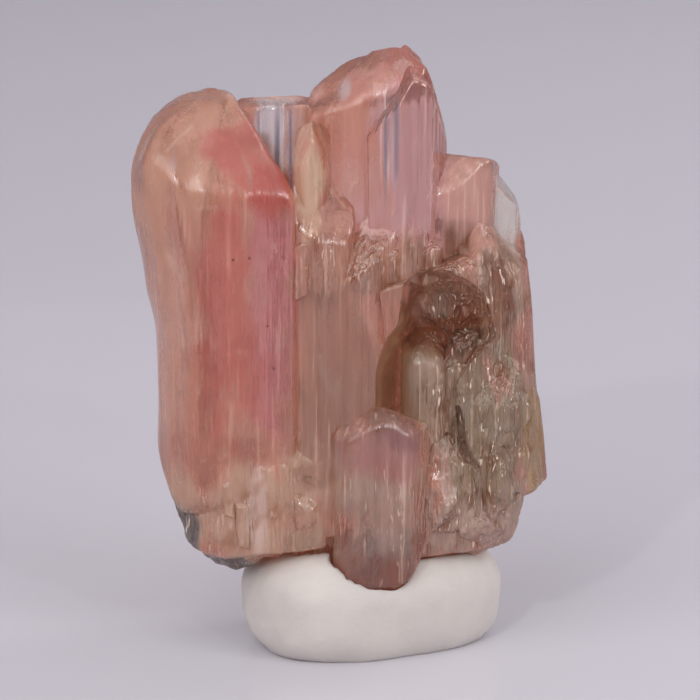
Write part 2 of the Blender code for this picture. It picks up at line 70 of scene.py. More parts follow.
def softNoise(points, scale, seed, octaves=2):
    # A sum of sines along random directions, sin(k . p + phase), varying smoothly between about -1 and 1
    draw = np.random.default_rng(seed)
    count = softWaves["count"]
    total = np.zeros(len(points))
    for octave in range(octaves):
        directions = draw.normal(size=(count, 3))
        directions /= np.linalg.norm(directions, axis=1)[:, None]
        k = directions * (fullTurn / scale * 2 ** octave) * draw.uniform(*softWaves["spread"], (count, 1))
        waves = np.sin(points @ k.T + draw.uniform(0, fullTurn, count))
        total += waves.sum(axis=1) / softWaves["height"] / softWaves["shallower"] ** octave
    return total


def loopPoints(corners, spacing, passes=2):
    # Even steps round a closed outline: the points, outward directions and distance along it. Each pass
    # averages a point with its neighbours, which rounds the corners.
    ends = np.vstack([corners, corners[:1]]).astype(float)
    runs = np.diff(ends, axis=0)
    stations = np.concatenate([[0], np.cumsum(np.hypot(runs[:, 0], runs[:, 1]))])
    along = np.linspace(0, stations[-1], int(stations[-1] / spacing), endpoint=False)
    points = np.stack([np.interp(along, stations, ends[:, axis]) for axis in (0, 1)], axis=1)
    for _ in range(passes):
        points = (np.roll(points, 1, axis=0) + 2 * points + np.roll(points, -1, axis=0)) / 4
    ahead = np.roll(points, -1, axis=0) - np.roll(points, 1, axis=0)
    outward = np.stack([ahead[:, 1], -ahead[:, 0]], axis=1)
    outward /= np.linalg.norm(outward, axis=1)[:, None]
    return points, outward, along


def globeDirections(rings, count):
    # Unit directions (sin a cos b, sin a sin b, -cos a) on a globe's grid, and then its two poles
    tilt = np.linspace(0, np.pi, rings + 2)[1:-1, None]
    turn = np.linspace(0, fullTurn, count, endpoint=False)[None, :]
    level = -np.cos(tilt) * np.ones_like(turn)
    way = np.stack([np.sin(tilt) * np.cos(turn), np.sin(tilt) * np.sin(turn), level], -1)
    return np.vstack([way.reshape(-1, 3), (0, 0, -1), (0, 0, 1)])


def closedMesh(name, rows, lowPole, highPole):
    # rows[v, u] are rings of points, anticlockwise about the way from lowPole to highPole. Quads join the
    # rings, and fans close both ends.
    rings, count = rows.shape[:2]
    points = np.vstack([rows.reshape(-1, 3), lowPole, highPole]) * mm
    ring, step = np.meshgrid(np.arange(rings - 1), np.arange(count), indexing="ij")
    after = (step + 1) % count
    below, above = ring * count, (ring + 1) * count
    quads = np.stack([below + step, below + after, above + after, above + step], -1).reshape(-1, 4)
    here, after = np.arange(count), (np.arange(count) + 1) % count
    last = (rings - 1) * count
    fans = np.vstack([
        np.stack([np.full(count, rings * count), after, here], 1),
        np.stack([np.full(count, rings * count + 1), last + here, last + after], 1),
    ])
    mesh = bpy.data.meshes.new(name)
    mesh.from_pydata(points.tolist(), [], quads.tolist() + fans.tolist())
    piece = bpy.data.objects.new(name, mesh)
    bpy.context.scene.collection.objects.link(piece)
    return piece


def globePiece(name, points, rings, count):
    # A globe's grid of points as a closed mesh, with its two poles last
    return closedMesh(name, points[:-2].reshape(rings, count, 3), points[-2], points[-1])


def fused(target, others, operation):
    # One exact join or cut with all the others at once
    group = bpy.data.collections.new(operation.lower())
    for piece in others:
        group.objects.link(piece)
    step = target.modifiers.new(operation.lower(), "BOOLEAN")
    step.operation = operation
    step.solver = "MANIFOLD"
    step.operand_type = "COLLECTION"
    step.collection = group
    bpy.context.view_layer.update()
    result = bpy.data.meshes.new_from_object(target.evaluated_get(bpy.context.evaluated_depsgraph_get()))
    target.modifiers.clear()
    target.data = result
    for piece in others:
        bpy.data.objects.remove(piece, do_unlink=True)
    bpy.data.collections.remove(group)
    return target


# One upright crystal each: its outline seen from above (anticlockwise), its lowest and highest possible
# height, and the faces of its two ends. A face is a point on it and its rise for each millimetre along X
# and Y. Lines are the pitch and depth of the growth lines along it. A swell pushes the side out along a
# direction, between two heights.
crystals = {
    "core": {
        "section": [
            (-6.4, -1.8), (0.0, -2.0), (4.0, -1.4), (7.0, 0.2),
            (7.3, 2.0), (4.5, 3.1), (-0.5, 3.7), (-5.5, 3.3),
        ],
        "heights": (4.9, 17.6),
        "top": [((0.0, 0.0, 17.4), (-0.08, 0.12))],
        "base": [
            ((-6.0, 0.0, 6.6), (-0.55, 0.0)), ((6.6, 0.0, 5.6), (0.7, 0.0)),
            ((0.0, 3.0, 6.0), (0.0, 0.9)),
        ],
        "lines": (1.2, 0.06),
    },
    "leftPrism": {
        "section": [
            (-6.2, -3.3), (-4.2, -3.2), (-1.9, -2.75), (-1.55, -1.4), (-1.6, 1.9),
            (-3.2, 3.3), (-6.2, 3.5), (-7.8, 2.2), (-8.0, 0.6), (-7.95, -0.8), (-7.4, -2.2),
        ],
        "heights": (5.6, 26.0),
        "top": [
            ((-6.0, -1.48, 23.45), (-0.12, 1.25)),
            ((-6.0, -1.48, 23.6), (-0.35, 0.9)),
            ((-4.0, -0.24, 24.15), (-2.2, -0.62)),
            ((-7.95, 0.3, 21.7), (2.6, 0.1)),
            ((-7.3, 0.3, 23.25), (0.9, 0.1)),
            ((-6.1, 0.3, 24.8), (0.42, -0.2)),
            ((-5.2, 0.3, 25.5), (-0.12, -0.3)),
            ((-5.2, 1.2, 25.1), (0.0, -0.85)),
        ],
        "base": [
            ((-7.9, 0.0, 8.5), (-2.3, 0.1)), ((-5.6, -3.2, 7.0), (-0.1, -1.1)),
            ((-5.0, 3.0, 7.6), (0.0, 0.8)),
        ],
        "lines": (1.5, 0.03), "swells": [((-0.4, 0.0), 14.8, 15.7), ((-0.6, 0.0), 16.6, 20.2)],
        "rounding": 0.4, "passes": 14, "turnPasses": 12,
    },
    "windowPlate": {
        "section": [(-4.4, -0.05), (-2.2, 0.2), (-1.0, 0.25), (-1.0, 1.15), (-2.6, 1.2), (-4.4, 1.0)],
        "heights": (16.5, 25.5),
        "top": [((-3.6, 0.5, 24.45), (-0.12, 0.2)), ((-2.1, 0.5, 24.05), (0.0, 0.3))],
        "base": [],
        "lines": (0.55, 0.05),
    },
    "lensCrystal": {
        "section": [(-1.95, -1.6), (-1.6, -2.1), (-1.0, -2.2), (-0.55, -1.8), (-0.2, -0.6), (-1.9, -0.2)],
        "heights": (15.5, 24.5),
        "top": [
            ((-1.15, -1.9, 23.35), (2.4, 0.9)), ((-1.15, -1.9, 23.35), (-1.5, 0.9)),
            ((-1.2, -1.2, 23.6), (0.0, -0.6)),
        ],
        "base": [],
        "lines": (0.6, 0.04),
    },
    "rightPeak": {
        "section": [
            (-1.35, -0.5), (0.5, -1.3), (3.3, -1.1), (4.5, 0.0),
            (4.72, 1.2), (3.9, 3.0), (1.2, 3.7), (-1.2, 2.9),
        ],
        "heights": (14.0, 28.0), "passes": 5,
        "top": [
            ((2.25, 0.5, 26.55), (0.62, 0.62)),
            ((0.6, -1.1, 24.7), (0.2, 1.5)),
            ((2.6, 0.5, 26.5), (-0.8, -0.3)),
            ((3.85, 0.5, 25.4), (-3.3, -0.3)),
            ((2.2, 0.8, 26.45), (0.1, -0.95)),
            ((-0.6, 1.2, 25.0), (0.9, -0.2)),
        ],
        "base": [],
        "lines": (1.1, 0.05),
    },
    "striatedColumn": {
        "section": [(1.25, -1.75), (2.75, -1.95), (4.1, -1.2), (4.68, 0.5), (2.4, 1.0), (1.15, -0.2)],
        "heights": (12.0, 28.0),
        "top": [
            ((2.9, -1.7, 25.15), (1.42, 0.62)),
            ((3.1, -0.3, 26.05), (-0.75, 0.3)),
            ((3.8, -0.3, 25.3), (-3.4, -0.2)),
        ],
        "base": [],
        "lines": (0.7, 0.07),
    },
    "shoulder": {
        "section": [(3.6, -0.9), (5.1, -0.75), (6.6, 0.1), (6.95, 1.4), (6.2, 2.9), (4.2, 3.3)],
        "heights": (12.0, 24.0),
        "top": [
            ((5.0, 0.8, 21.7), (-0.12, -0.27)),
            ((5.2, -0.5, 20.9), (0.25, 1.05)),
            ((6.8, 0.8, 21.35), (-2.6, 0.2)),
            ((5.5, 2.2, 21.6), (0.1, -0.8)),
        ],
        "base": [],
        "lines": (1.0, 0.05),
    },
    "clearCrystal": {
        "section": [(6.0, 1.0), (7.2, 0.75), (7.95, 1.3), (7.98, 2.2), (7.2, 3.0), (6.2, 2.9)],
        "heights": (13.0, 22.0),
        "top": [
            ((7.15, 1.6, 20.1), (-1.1, 0.1)), ((6.4, 1.6, 20.7), (-0.5, 0.2)),
            ((7.9, 1.6, 18.9), (-3.6, 0.2)),
        ],
        "base": [((7.9, 1.6, 17.6), (2.6, 0.0))],
        "lines": (0.9, 0.04),
    },
    "ridgeLayer": {
        "section": [
            (-1.98, -2.4), (-1.6, -2.7), (-0.9, -2.85), (0.25, -2.7),
            (0.7, -1.9), (0.4, 0.4), (-1.9, 0.4),
        ],
        "heights": (5.4, 21.0),
        "top": [((-1.0, -2.8, 18.9), (-0.15, 1.5)), ((-0.2, -2.7, 18.8), (-0.55, 1.2))],
        "base": [],
        "lines": (0.8, 0.06),
    },
    "middleLayer": {
        "section": [
            (-0.3, -2.5), (0.3, -2.85), (1.5, -2.75), (1.75, -2.5), (2.4, -1.9), (2.4, 0.4), (-0.2, 0.4),
        ],
        "heights": (5.2, 20.5),
        "top": [((0.3, -2.7, 18.5), (-0.42, 1.6)), ((1.4, -2.6, 17.8), (0.5, 1.3))],
        "base": [],
        "lines": (0.9, 0.07),
    },
    "rightLayer": {
        "section": [
            (1.4, -2.55), (3.2, -2.5), (5.2, -1.9), (7.2, -0.7),
            (7.95, 0.7), (7.85, 2.3), (5.0, 3.5), (1.5, 2.8),
        ],
        "heights": (5.6, 20.5),
        "lean": (-0.085, 0.0),
        "top": [
            ((1.7, -2.5, 18.05), (0.25, 1.1)),
            ((3.2, -2.4, 17.9), (-0.55, 1.1)),
            ((7.2, -0.3, 17.3), (-0.9, 0.6)),
            ((6.2, 0.5, 18.1), (0.3, 0.1)),
        ],
        "base": [((7.6, 0.5, 6.9), (1.4, 0.0))],
        "lines": (0.8, 0.08),
    },
    "rightLedge": {
        "section": [(5.1, -1.6), (6.1, -1.5), (7.2, -0.6), (7.55, 0.6), (6.6, 1.2), (5.2, 0.4)],
        "heights": (12.0, 20.5),
        "top": [
            ((5.9, -1.2, 17.95), (1.0, 1.0)), ((6.4, -0.9, 18.1), (-0.75, 0.8)),
            ((7.3, -0.3, 17.3), (-1.8, 0.3)),
        ],
        "base": [],
        "lines": (0.8, 0.05),
    },
    "oliveEdge": {
        "section": [(6.8, -0.8), (8.0, -0.4), (8.6, 0.6), (8.4, 2.0), (6.8, 2.4)],
        "heights": (6.2, 13.0),
        "lean": (-0.11, 0.0),
        "top": [((8.5, 0.6, 11.6), (-2.6, 0.4)), ((8.0, 0.6, 12.6), (-0.9, 0.5))],
        "base": [((9.0, 0.6, 6.9), (0.75, -0.2)), ((8.2, -0.2, 6.4), (0.2, -0.6))],
        "lines": (0.8, 0.05),
    },
    "lowerFrontCrystal": {
        "section": [
            (-0.25, -2.9), (0.4, -3.5), (1.7, -3.75), (3.0, -3.45),
            (3.95, -2.4), (3.7, -0.4), (-0.1, -0.4),
        ],
        "heights": (2.6, 12.5),
        "top": [
            ((1.0, -3.55, 10.45), (0.75, 0.8)), ((2.9, -3.4, 10.35), (-0.85, 0.8)),
            ((2.0, -3.5, 10.95), (0.0, 0.8)), ((1.8, -2.6, 11.2), (0.0, -1.6)),
        ],
        "base": [
            ((1.3, -3.2, 2.95), (0.12, -0.95)), ((1.2, -2.0, 2.75), (0.0, 0.05)),
            ((2.6, -2.6, 3.1), (0.75, -0.3)), ((3.5, -2.4, 4.3), (1.9, -0.2)),
            ((-0.1, -2.9, 3.6), (-0.6, -0.3)),
        ],
        "lines": (0.6, 0.06), "passes": 3,
    },
    "lowerRightChunk": {
        "section": [(3.3, -2.35), (5.2, -2.1), (7.2, -0.9), (8.1, 0.6), (7.8, 2.0), (5.2, 2.7), (3.2, 2.2)],
        "heights": (3.2, 8.6),
        "top": [((5.0, -2.0, 7.4), (0.25, 0.8)), ((7.6, 0.0, 7.3), (-0.5, 0.6))],
        "base": [
            ((4.6, -1.8, 4.35), (0.16, -0.35)), ((6.6, 0.0, 4.15), (0.75, -0.1)),
            ((7.5, 0.4, 5.2), (2.4, 0.0)), ((5.0, 2.0, 4.2), (0.0, 0.9)),
        ],
        "lines": (0.9, 0.05),
    },
    "leftFoot": {
        "section": [
            (-7.25, -0.7), (-6.5, -2.3), (-4.8, -3.15), (-2.2, -3.0),
            (-0.6, -2.8), (-0.4, -1.0), (-2.8, 1.9), (-6.4, 1.8),
        ],
        "heights": (3.0, 10.5),
        "top": [((-4.0, -3.1, 8.6), (0.0, 1.2)), ((-6.8, 0.0, 8.8), (0.6, 0.3))],
        "base": [
            ((-7.05, -0.5, 5.9), (-2.6, 0.0)), ((-6.0, -1.0, 4.25), (-0.9, -0.1)),
            ((-4.2, -1.6, 3.75), (-0.35, -0.27)), ((-3.2, -1.6, 3.5), (0.4, -0.3)),
            ((-1.9, -2.0, 4.55), (0.1, -0.3)), ((-4.0, 1.4, 4.2), (0.0, 0.8)),
        ],
        "lines": (1.1, 0.05), "rounding": 0.15, "passes": 5,
    },
    "root": {
        "section": [(-1.1, -2.1), (3.2, -1.9), (4.4, 0.2), (3.6, 1.9), (-0.4, 2.1), (-1.5, 0.3)],
        "heights": (2.75, 7.5),
        "top": [],
        "base": [((-0.9, 0.0, 3.4), (-0.55, 0.0)), ((3.8, 0.0, 3.2), (0.5, 0.1))],
        "lines": (0.9, 0.04),
    },
    "backLeft": {
        "section": [(-6.9, 1.6), (-3.0, 1.6), (-2.3, 3.2), (-3.6, 4.3), (-5.8, 4.4), (-7.2, 3.2)],
        "heights": (7.0, 23.0),
        "top": [((-4.4, 3.6, 20.6), (-0.4, -1.3)), ((-6.4, 3.2, 19.4), (0.9, -0.4))],
        "base": [((-4.6, 3.8, 8.2), (0.2, 1.1))],
        "lines": (0.9, 0.08),
    },
    "backMiddle": {
        "section": [(-2.4, 1.8), (1.9, 2.0), (2.4, 3.7), (0.9, 4.6), (-1.2, 4.5), (-2.6, 3.4)],
        "heights": (5.6, 20.0),
        "top": [((0.0, 4.0, 15.8), (0.55, -1.2)), ((1.8, 3.6, 16.2), (-0.9, -0.5))],
        "base": [((0.0, 4.2, 6.2), (-0.1, 1.3))],
        "lines": (0.7, 0.09),
    },
    "backRight": {
        "section": [(2.2, 1.8), (6.0, 1.4), (6.6, 2.9), (5.2, 4.0), (3.2, 4.1), (2.0, 3.2)],
        "heights": (6.4, 20.0),
        "top": [((4.2, 3.6, 18.4), (-0.5, -1.1)), ((3.0, 3.4, 18.0), (1.1, -0.4))],
        "base": [((4.4, 3.6, 7.6), (0.3, 1.2))],
        "lines": (0.8, 0.08),
    },
}

# The small crystal that stands in the pit
pitCrystal = {
    "section": [
        (2.75, -1.2), (2.95, -1.9), (3.6, -2.2), (4.4, -2.1), (4.85, -1.4), (4.85, 0.9), (2.75, 0.9),
    ],
    "heights": (8.0, 15.0),
    "top": [
        ((3.7, -1.6, 13.75), (0.2, 0.35)), ((4.2, -1.7, 13.4), (-0.75, 0.5)),
        ((4.7, -1.6, 12.7), (-2.4, 0.4)), ((2.95, -1.7, 13.2), (1.5, 0.5)),
        ((3.7, -2.1, 13.3), (0.0, 1.6)),
    ],
    "base": [],
    "lines": (0.6, 0.04), "rounding": 0.2, "passes": 5, "seed": 40,
}

# The crystals' grid: its steps round the section, up the side and across the ends, the share of the
# possible height that the side's rows are counted for, and how far they close up towards the rims
grid = {"round": 0.105, "up": 0.23, "cap": 0.16, "sideShare": 0.8, "closing": 0.6}
edgeRounding = 0.07  # of the edges where a crystal's end faces meet
rimPasses = 2  # smoothing passes over the rings, which round the rims
leastHeight = 0.05  # of a crystal at any place, so that its ends never cross

# Relief on the crystals: the waves' width, their stretch along X, Y and Z, the step in their seed, and
# their height
relief = {
    "drift": (2.0, (0.3, 0.3, 0.25), 30, 0.12),
    "fading": (3.2, (1.0, 1.0, 0.2), 40, 0.4),
    "wander": (1.8, (1.0, 1.0, 0.22), 50, 0.03),
    "layers": (3.0, (1.0, 1.0, 0.3), 90, 1.6),
    "ends": (1.5, (1.0, 1.0, 1.0), 70, 0.035),
}
lineStrength = {"middle": 0.45, "range": (0.05, 1.2)}
steps = {"depth": 0.035, "slope": 0.1, "sharpness": 6}  # slope and sharpness are those of a step's tread


def reliefWaves(kind, rows, seed):
    # Soft noise over a crystal's grid, drawn out along each axis
    width, stretch, seedStep, height = relief[kind]
    return height * softNoise(rows.reshape(-1, 3) * stretch, width, seed + seedStep).reshape(rows.shape[:2])


def endHeight(faces, x, y, lean, high, flat, side, rounding):
    # Every face is z = z0 + sx (x - x0) + sy (y - y0), solved along the crystal's own lean. Side is 1 for
    # the lowest of them and -1 for the highest. The edges where they meet are rounded by
    # z = -k log(sum of exp(-z / k)).
    heights = [np.full(x.shape, flat)]
    for (px, py, pz), (sx, sy) in faces:
        level = pz + sx * (x - lean[0] * high - px) + sy * (y - lean[1] * high - py)
        heights.append(level / (1 - sx * lean[0] - sy * lean[1]))
    heights = side * np.array(heights)
    lowest = heights.min(axis=0)
    return side * (lowest - rounding * np.log(np.exp((lowest - heights) / rounding).sum(axis=0)))


def sidePush(spec, rows, outward, along, scale, seed):
    # How far each point moves outwards: growth lines that drift and fade, slow waves and shallow flat
    # steps, which all fade out over the outer third of the ends, and swells that rise as t^2 (3 - 2 t)
    pitch, depth = spec["lines"]
    strength = lineStrength["middle"] + reliefWaves("fading", rows, seed)
    lines = fineLines(along[None, :] + reliefWaves("drift", rows, seed), seed, pitch, depth)
    lines *= np.clip(strength, *lineStrength["range"])
    layers = reliefWaves("layers", rows, seed)
    treads = np.round(layers) + np.tanh(steps["sharpness"] * (layers - np.round(layers))) * steps["slope"]
    treads /= relief["layers"][3]
    push = lines + reliefWaves("wander", rows, seed) + steps["depth"] * treads
    push *= np.clip(scale * 3 - 2, 0, 1)[:, None]
    for direction, start, end in spec.get("swells", []):
        risen = np.clip((rows[..., 2] - start) / (end - start), 0, 1)
        push += np.clip(outward @ np.array(direction), 0, None) * risen ** 2 * (3 - 2 * risen)
    return push


def crystalPiece(name, spec, seed):
    # A crystal as a function of u, round its section, and v, which runs from the middle of its base out to
    # the edge, up the side, and in to the middle of its top: z = base + climb (top - base). Its side is
    # pushed in and out, its rims are smoothed, and then it leans.
    loop, outward, along = loopPoints(spec["section"], grid["round"])
    low, high = spec["heights"]
    lean = spec.get("lean", (0.0, 0.0))
    middle = loop.mean(axis=0)
    reach = np.linalg.norm(loop - middle, axis=1).mean()
    capRows = max(3, int(reach / grid["cap"]))
    sideRows = max(4, int((high - low) * grid["sideShare"] / grid["up"]))
    inward = np.linspace(0, 1, capRows + 1)[1:]
    scale = np.concatenate([inward, np.ones(sideRows - 1), inward[::-1]])
    share = np.linspace(0, 1, sideRows + 1)[1:-1]
    closing = grid["closing"] * (0.5 - 0.5 * np.cos(np.pi * share) - share)
    climb = np.concatenate([np.zeros(capRows), share + closing, np.ones(capRows)])
    x, y = np.moveaxis(middle + scale[:, None, None] * (loop - middle), -1, 0)
    rounding = spec.get("rounding", edgeRounding)
    top = endHeight(spec["top"], x, y, lean, high, high, 1, rounding)
    base = endHeight(spec["base"], x, y, lean, high, low, -1, rounding)
    top = np.maximum(top, base + leastHeight)
    rows = np.stack([x, y, base + climb[:, None] * (top - base)], axis=-1)
    rows[..., :2] += outward[None] * sidePush(spec, rows, outward, along, scale, seed)[..., None]
    for _ in range(spec.get("passes", rimPasses)):
        rows[1:-1] = (rows[:-2] + 2 * rows[1:-1] + rows[2:]) / 4
    uneven = np.where((scale < 0.999)[:, None], reliefWaves("ends", rows, seed), 0.0)
    for _ in range(spec.get("turnPasses", 0)):
        rows = (np.roll(rows, 1, axis=1) + 2 * rows + np.roll(rows, -1, axis=1)) / 4
    rows[..., 2] += uneven
    rows[..., 0] += lean[0] * (rows[..., 2] - high)
    rows[..., 1] += lean[1] * (rows[..., 2] - high)
    return closedMesh(name, rows, rows[0].mean(axis=0), rows[-1].mean(axis=0))


# Broken lumps: a stretched ball, flat where chips have come off
lumps = {
    "cloudyLump": {"centre": (-4.3, -1.25, 6.6), "halfSize": (2.7, 2.05, 2.9), "chips": 22, "seed": 3},
    "cloudyLumpRight": {"centre": (-1.9, -1.6, 6.8), "halfSize": (1.9, 1.5, 2.5), "chips": 20, "seed": 8},
    "greyLump": {"centre": (6.0, -0.7, 10.6), "halfSize": (2.1, 1.5, 3.3), "chips": 26, "seed": 5},
    "greyLumpLow": {"centre": (6.6, -0.75, 7.9), "halfSize": (1.5, 1.5, 2.4), "chips": 20, "seed": 25},
    "greyFoot": {"centre": (4.6, -1.7, 7.4), "halfSize": (1.4, 1.3, 2.5), "chips": 18, "seed": 14},
    "pinkFoot": {"centre": (6.2, -0.6, 5.9), "halfSize": (1.9, 1.6, 1.8), "chips": 18, "seed": 33},
}
lumpShape = {
    "rings": 52, "count": 92, "chipDistance": (0.76, 0.98), "leastFacing": 0.05,
    "uneven": 0.14, "unevenWidth": 1.5, "fineUneven": 0.05, "fineWidth": 0.5,
}


def lumpPiece(name, spec):
    # r(direction) = the lowest of the chips' distances, d / (n . direction), and an uneven ball's radius
    draw = np.random.default_rng(spec["seed"])
    rings, count = lumpShape["rings"], lumpShape["count"]
    way = globeDirections(rings, count)
    normals = draw.normal(size=(spec["chips"], 3))
    normals /= np.linalg.norm(normals, axis=1)[:, None]
    facing = np.maximum(way @ normals.T, lumpShape["leastFacing"])
    uneven = 1.0 + lumpShape["uneven"] * softNoise(way, lumpShape["unevenWidth"], spec["seed"])
    uneven += lumpShape["fineUneven"] * softNoise(way, lumpShape["fineWidth"], spec["seed"])
    distance = draw.uniform(*lumpShape["chipDistance"], spec["chips"])
    reach = np.minimum((distance / facing).min(axis=1), uneven)
    return globePiece(name, np.array(spec["centre"]) + way * reach[:, None] * spec["halfSize"], rings, count)


# Hollows in the front: an outline in X and Z, carried back from the mouth to the floor while it narrows
# like a bowl. Rise is how much further forward the floor lies for each millimetre up.
hollows = {
    "pit": {
        "outline": [
            (1.65, 9.4), (1.6, 12.9), (1.95, 14.2), (2.5, 14.9), (2.6, 15.9),
            (2.7, 17.1), (3.3, 17.75), (4.9, 17.75), (6.3, 16.9), (7.2, 15.5),
            (7.2, 14.2), (5.9, 13.3), (5.1, 12.2), (5.0, 9.0), (3.0, 8.6),
        ],
        "mouth": -4.6, "floor": 0.1, "floorScale": 0.5, "rise": 0.3,
    },
    "notch": {
        "outline": [(-1.65, 7.9), (-1.7, 8.5), (-1.0, 8.75), (-0.25, 8.7), (-0.2, 8.0), (-0.9, 7.7)],
        "mouth": -4.6, "floor": -2.88, "floorScale": 0.8, "rise": 0.2,
    },
    "groove": {
        "outline": [(4.85, 11.6), (5.25, 11.6), (5.6, 9.5), (6.45, 7.9), (6.1, 7.6), (5.2, 9.0)],
        "mouth": -4.0, "floor": -1.75, "floorScale": 0.6, "rise": 0.0,
    },
}
hollowShape = {
    "spacing": 0.15, "passes": 3, "mouthScale": 1.06, "capRows": 9, "sideRows": 26,
    "uneven": 0.12, "unevenWidth": 1.5, "seed": 7,
}


def hollowPiece(name, spec):
    # The hollow's outline carried from its mouth to its floor. Its size goes with the depth t, 0 to 1, as
    # floorScale + (mouthScale - floorScale) sqrt(1 - t^2)
    loop, _, _ = loopPoints(np.array(spec["outline"]), hollowShape["spacing"], hollowShape["passes"])
    middle = loop.mean(axis=0)
    mouthScale, floorScale = hollowShape["mouthScale"], spec["floorScale"]
    share = np.sin(np.linspace(0, np.pi / 2, hollowShape["sideRows"]))[1:-1]
    inward = np.linspace(0, 1, hollowShape["capRows"])[1:]
    narrowing = floorScale + (mouthScale - floorScale) * np.sqrt(1 - share ** 2)
    scale = np.concatenate([inward * mouthScale, narrowing, inward[::-1] * floorScale])
    depth = np.concatenate([np.zeros(len(inward)), share, np.ones(len(inward))])
    flat = middle + scale[:, None, None] * (loop - middle)
    rows = np.empty((len(scale), len(loop), 3))
    rows[..., 0] = flat[..., 0]
    rows[..., 2] = flat[..., 1]
    rows[..., 1] = (spec["mouth"] + depth * (spec["floor"] - spec["mouth"]))[:, None]
    rows[..., 1] -= spec["rise"] * depth[:, None] * (flat[..., 1] - middle[1])
    uneven = softNoise(rows.reshape(-1, 3), hollowShape["unevenWidth"], hollowShape["seed"])
    rows[..., 1] += hollowShape["uneven"] * uneven.reshape(rows.shape[:2])
    return closedMesh(name, rows, rows[0].mean(axis=0), rows[-1].mean(axis=0))


# Broken splinters stand side by side in the rough zones. A zone recedes by its slant towards the right.
splinters = {
    "greySplinter": {
        "low": (4.9, -1.75, 6.2), "high": (7.7, -1.35, 13.0), "slant": 0.45, "count": 22, "seed": 4,
    },
    "paleSplinter": {
        "low": (-5.6, -3.0, 6.0), "high": (-1.2, -2.8, 7.6), "slant": 0.0, "count": 4, "seed": 9,
    },
    "shelfSplinter": {
        "low": (-1.6, -2.75, 17.0), "high": (7.2, -2.5, 17.6), "slant": 0.3, "count": 8, "seed": 12,
    },
}
# Ranges that each splinter's size, lean and slopes are drawn from
splinterShape = {
    "radius": (0.35, 0.8), "cornerReach": (0.75, 1.1), "height": (1.1, 2.6), "level": (0.2, 0.8),
    "leanX": (-0.08, 0.08), "leanY": (-0.05, 0.05), "lines": (0.4, 0.03), "seed": 60,
    "topX": (-0.9, 0.9), "topY": (0.2, 1.2), "baseX": (-0.5, 0.5), "baseY": (-0.9, 0.0),
}
goldenShare = 0.618


def splinterSpecs(spec):
    # Small six-sided crystals with slanting ends. The golden share spreads them evenly across a zone: the
    # place of number i is (i + 1/2) * 0.618, less its whole part.
    draw = random.Random(spec["seed"])
    (left, front, low), (right, back, high) = spec["low"], spec["high"]
    shape = splinterShape
    sixth = math.pi / 3
    forms = []
    for index in range(spec["count"]):
        x = left + (right - left) * ((index + 0.5) * goldenShare % 1)
        y = draw.uniform(front, back) + spec["slant"] * (x - left)
        z = low + (high - low) * (index + draw.uniform(*shape["level"])) / spec["count"]
        radius, height = draw.uniform(*shape["radius"]), draw.uniform(*shape["height"])
        turn = draw.uniform(0, sixth)
        corners = [(turn + sixth * side, radius * draw.uniform(*shape["cornerReach"])) for side in range(6)]
        lean = (draw.uniform(*shape["leanX"]), draw.uniform(*shape["leanY"]))
        topSlopes = [(draw.uniform(*shape["topX"]), draw.uniform(*shape["topY"])) for _ in range(2)]
        baseSlope = (draw.uniform(*shape["baseX"]), draw.uniform(*shape["baseY"]))
        section = [(x + reach * math.cos(angle), y + reach * math.sin(angle)) for angle, reach in corners]
        forms.append({
            "section": section,
            "heights": (z - 2 * height, z + 2 * height),
            "lean": lean,
            "top": [((x, y, z + height / 2), slope) for slope in topSlopes],
            "base": [((x, y, z - height / 2), baseSlope)],
            "lines": shape["lines"],
        })
    return forms


def makeCluster():
    # The crystals are joined, the pit is cut, what stands in front of it is joined, and the small hollows
    # are cut last
    parts = {name: crystalPiece(name, spec, seed) for seed, (name, spec) in enumerate(crystals.items())}
    inFront = parts.pop("lowerFrontCrystal")
    cluster = fused(parts.pop("core"), list(parts.values()), "UNION")
    cluster = fused(cluster, [hollowPiece("pit", hollows["pit"])], "DIFFERENCE")
    broken = [inFront] + [lumpPiece(name, spec) for name, spec in lumps.items()]
    for zone, spec in splinters.items():
        for place, form in enumerate(splinterSpecs(spec)):
            broken.append(crystalPiece(zone, form, splinterShape["seed"] + place))
    cluster = fused(cluster, broken, "UNION")
    cluster = fused(cluster, [hollowPiece(name, hollows[name]) for name in ("notch", "groove")], "DIFFERENCE")
    cluster = fused(cluster, [crystalPiece("pitCrystal", pitCrystal, pitCrystal["seed"])], "UNION")
    cluster.name = "crystalCluster"
    return cluster


def readPoints(mesh):
    # Every vertex's place and outward direction, in millimetres
    places = np.empty(len(mesh.vertices) * 3, np.float32)
    mesh.vertices.foreach_get("co", places)
    directions = np.empty(len(mesh.vertices) * 3, np.float32)
    mesh.vertex_normals.foreach_get("vector", directions)
    return places.reshape(-1, 3).astype(float) / mm, directions.reshape(-1, 3).astype(float)


def writePoints(mesh, points):
    # The mesh's vertices, from places in millimetres
    mesh.vertices.foreach_set("co", (points * mm).ravel().astype(np.float32))


# Where the surface is broken: the middle and half size of a zone, and how deep its chips go
brokenZones = [
    ((6.2, -1.2, 10.2), (2.4, 2.6, 4.2), 1.0),
    ((4.6, -1.6, 5.8), (4.0, 2.6, 2.4), 0.7),
    ((-3.6, -2.2, 6.2), (3.4, 2.6, 2.6), 0.35),
    ((2.6, -2.6, 17.6), (5.6, 1.6, 0.9), 0.5),
    ((6.2, -1.0, 15.2), (2.4, 2.4, 2.6), 0.9),
    ((1.9, -3.4, 6.2), (2.2, 1.2, 2.4), 0.4),
    ((-6.8, -0.6, 5.6), (1.2, 2.4, 1.8), 1.0),
    ((0.0, 4.2, 11.0), (7.0, 2.0, 8.0), 0.45),
]

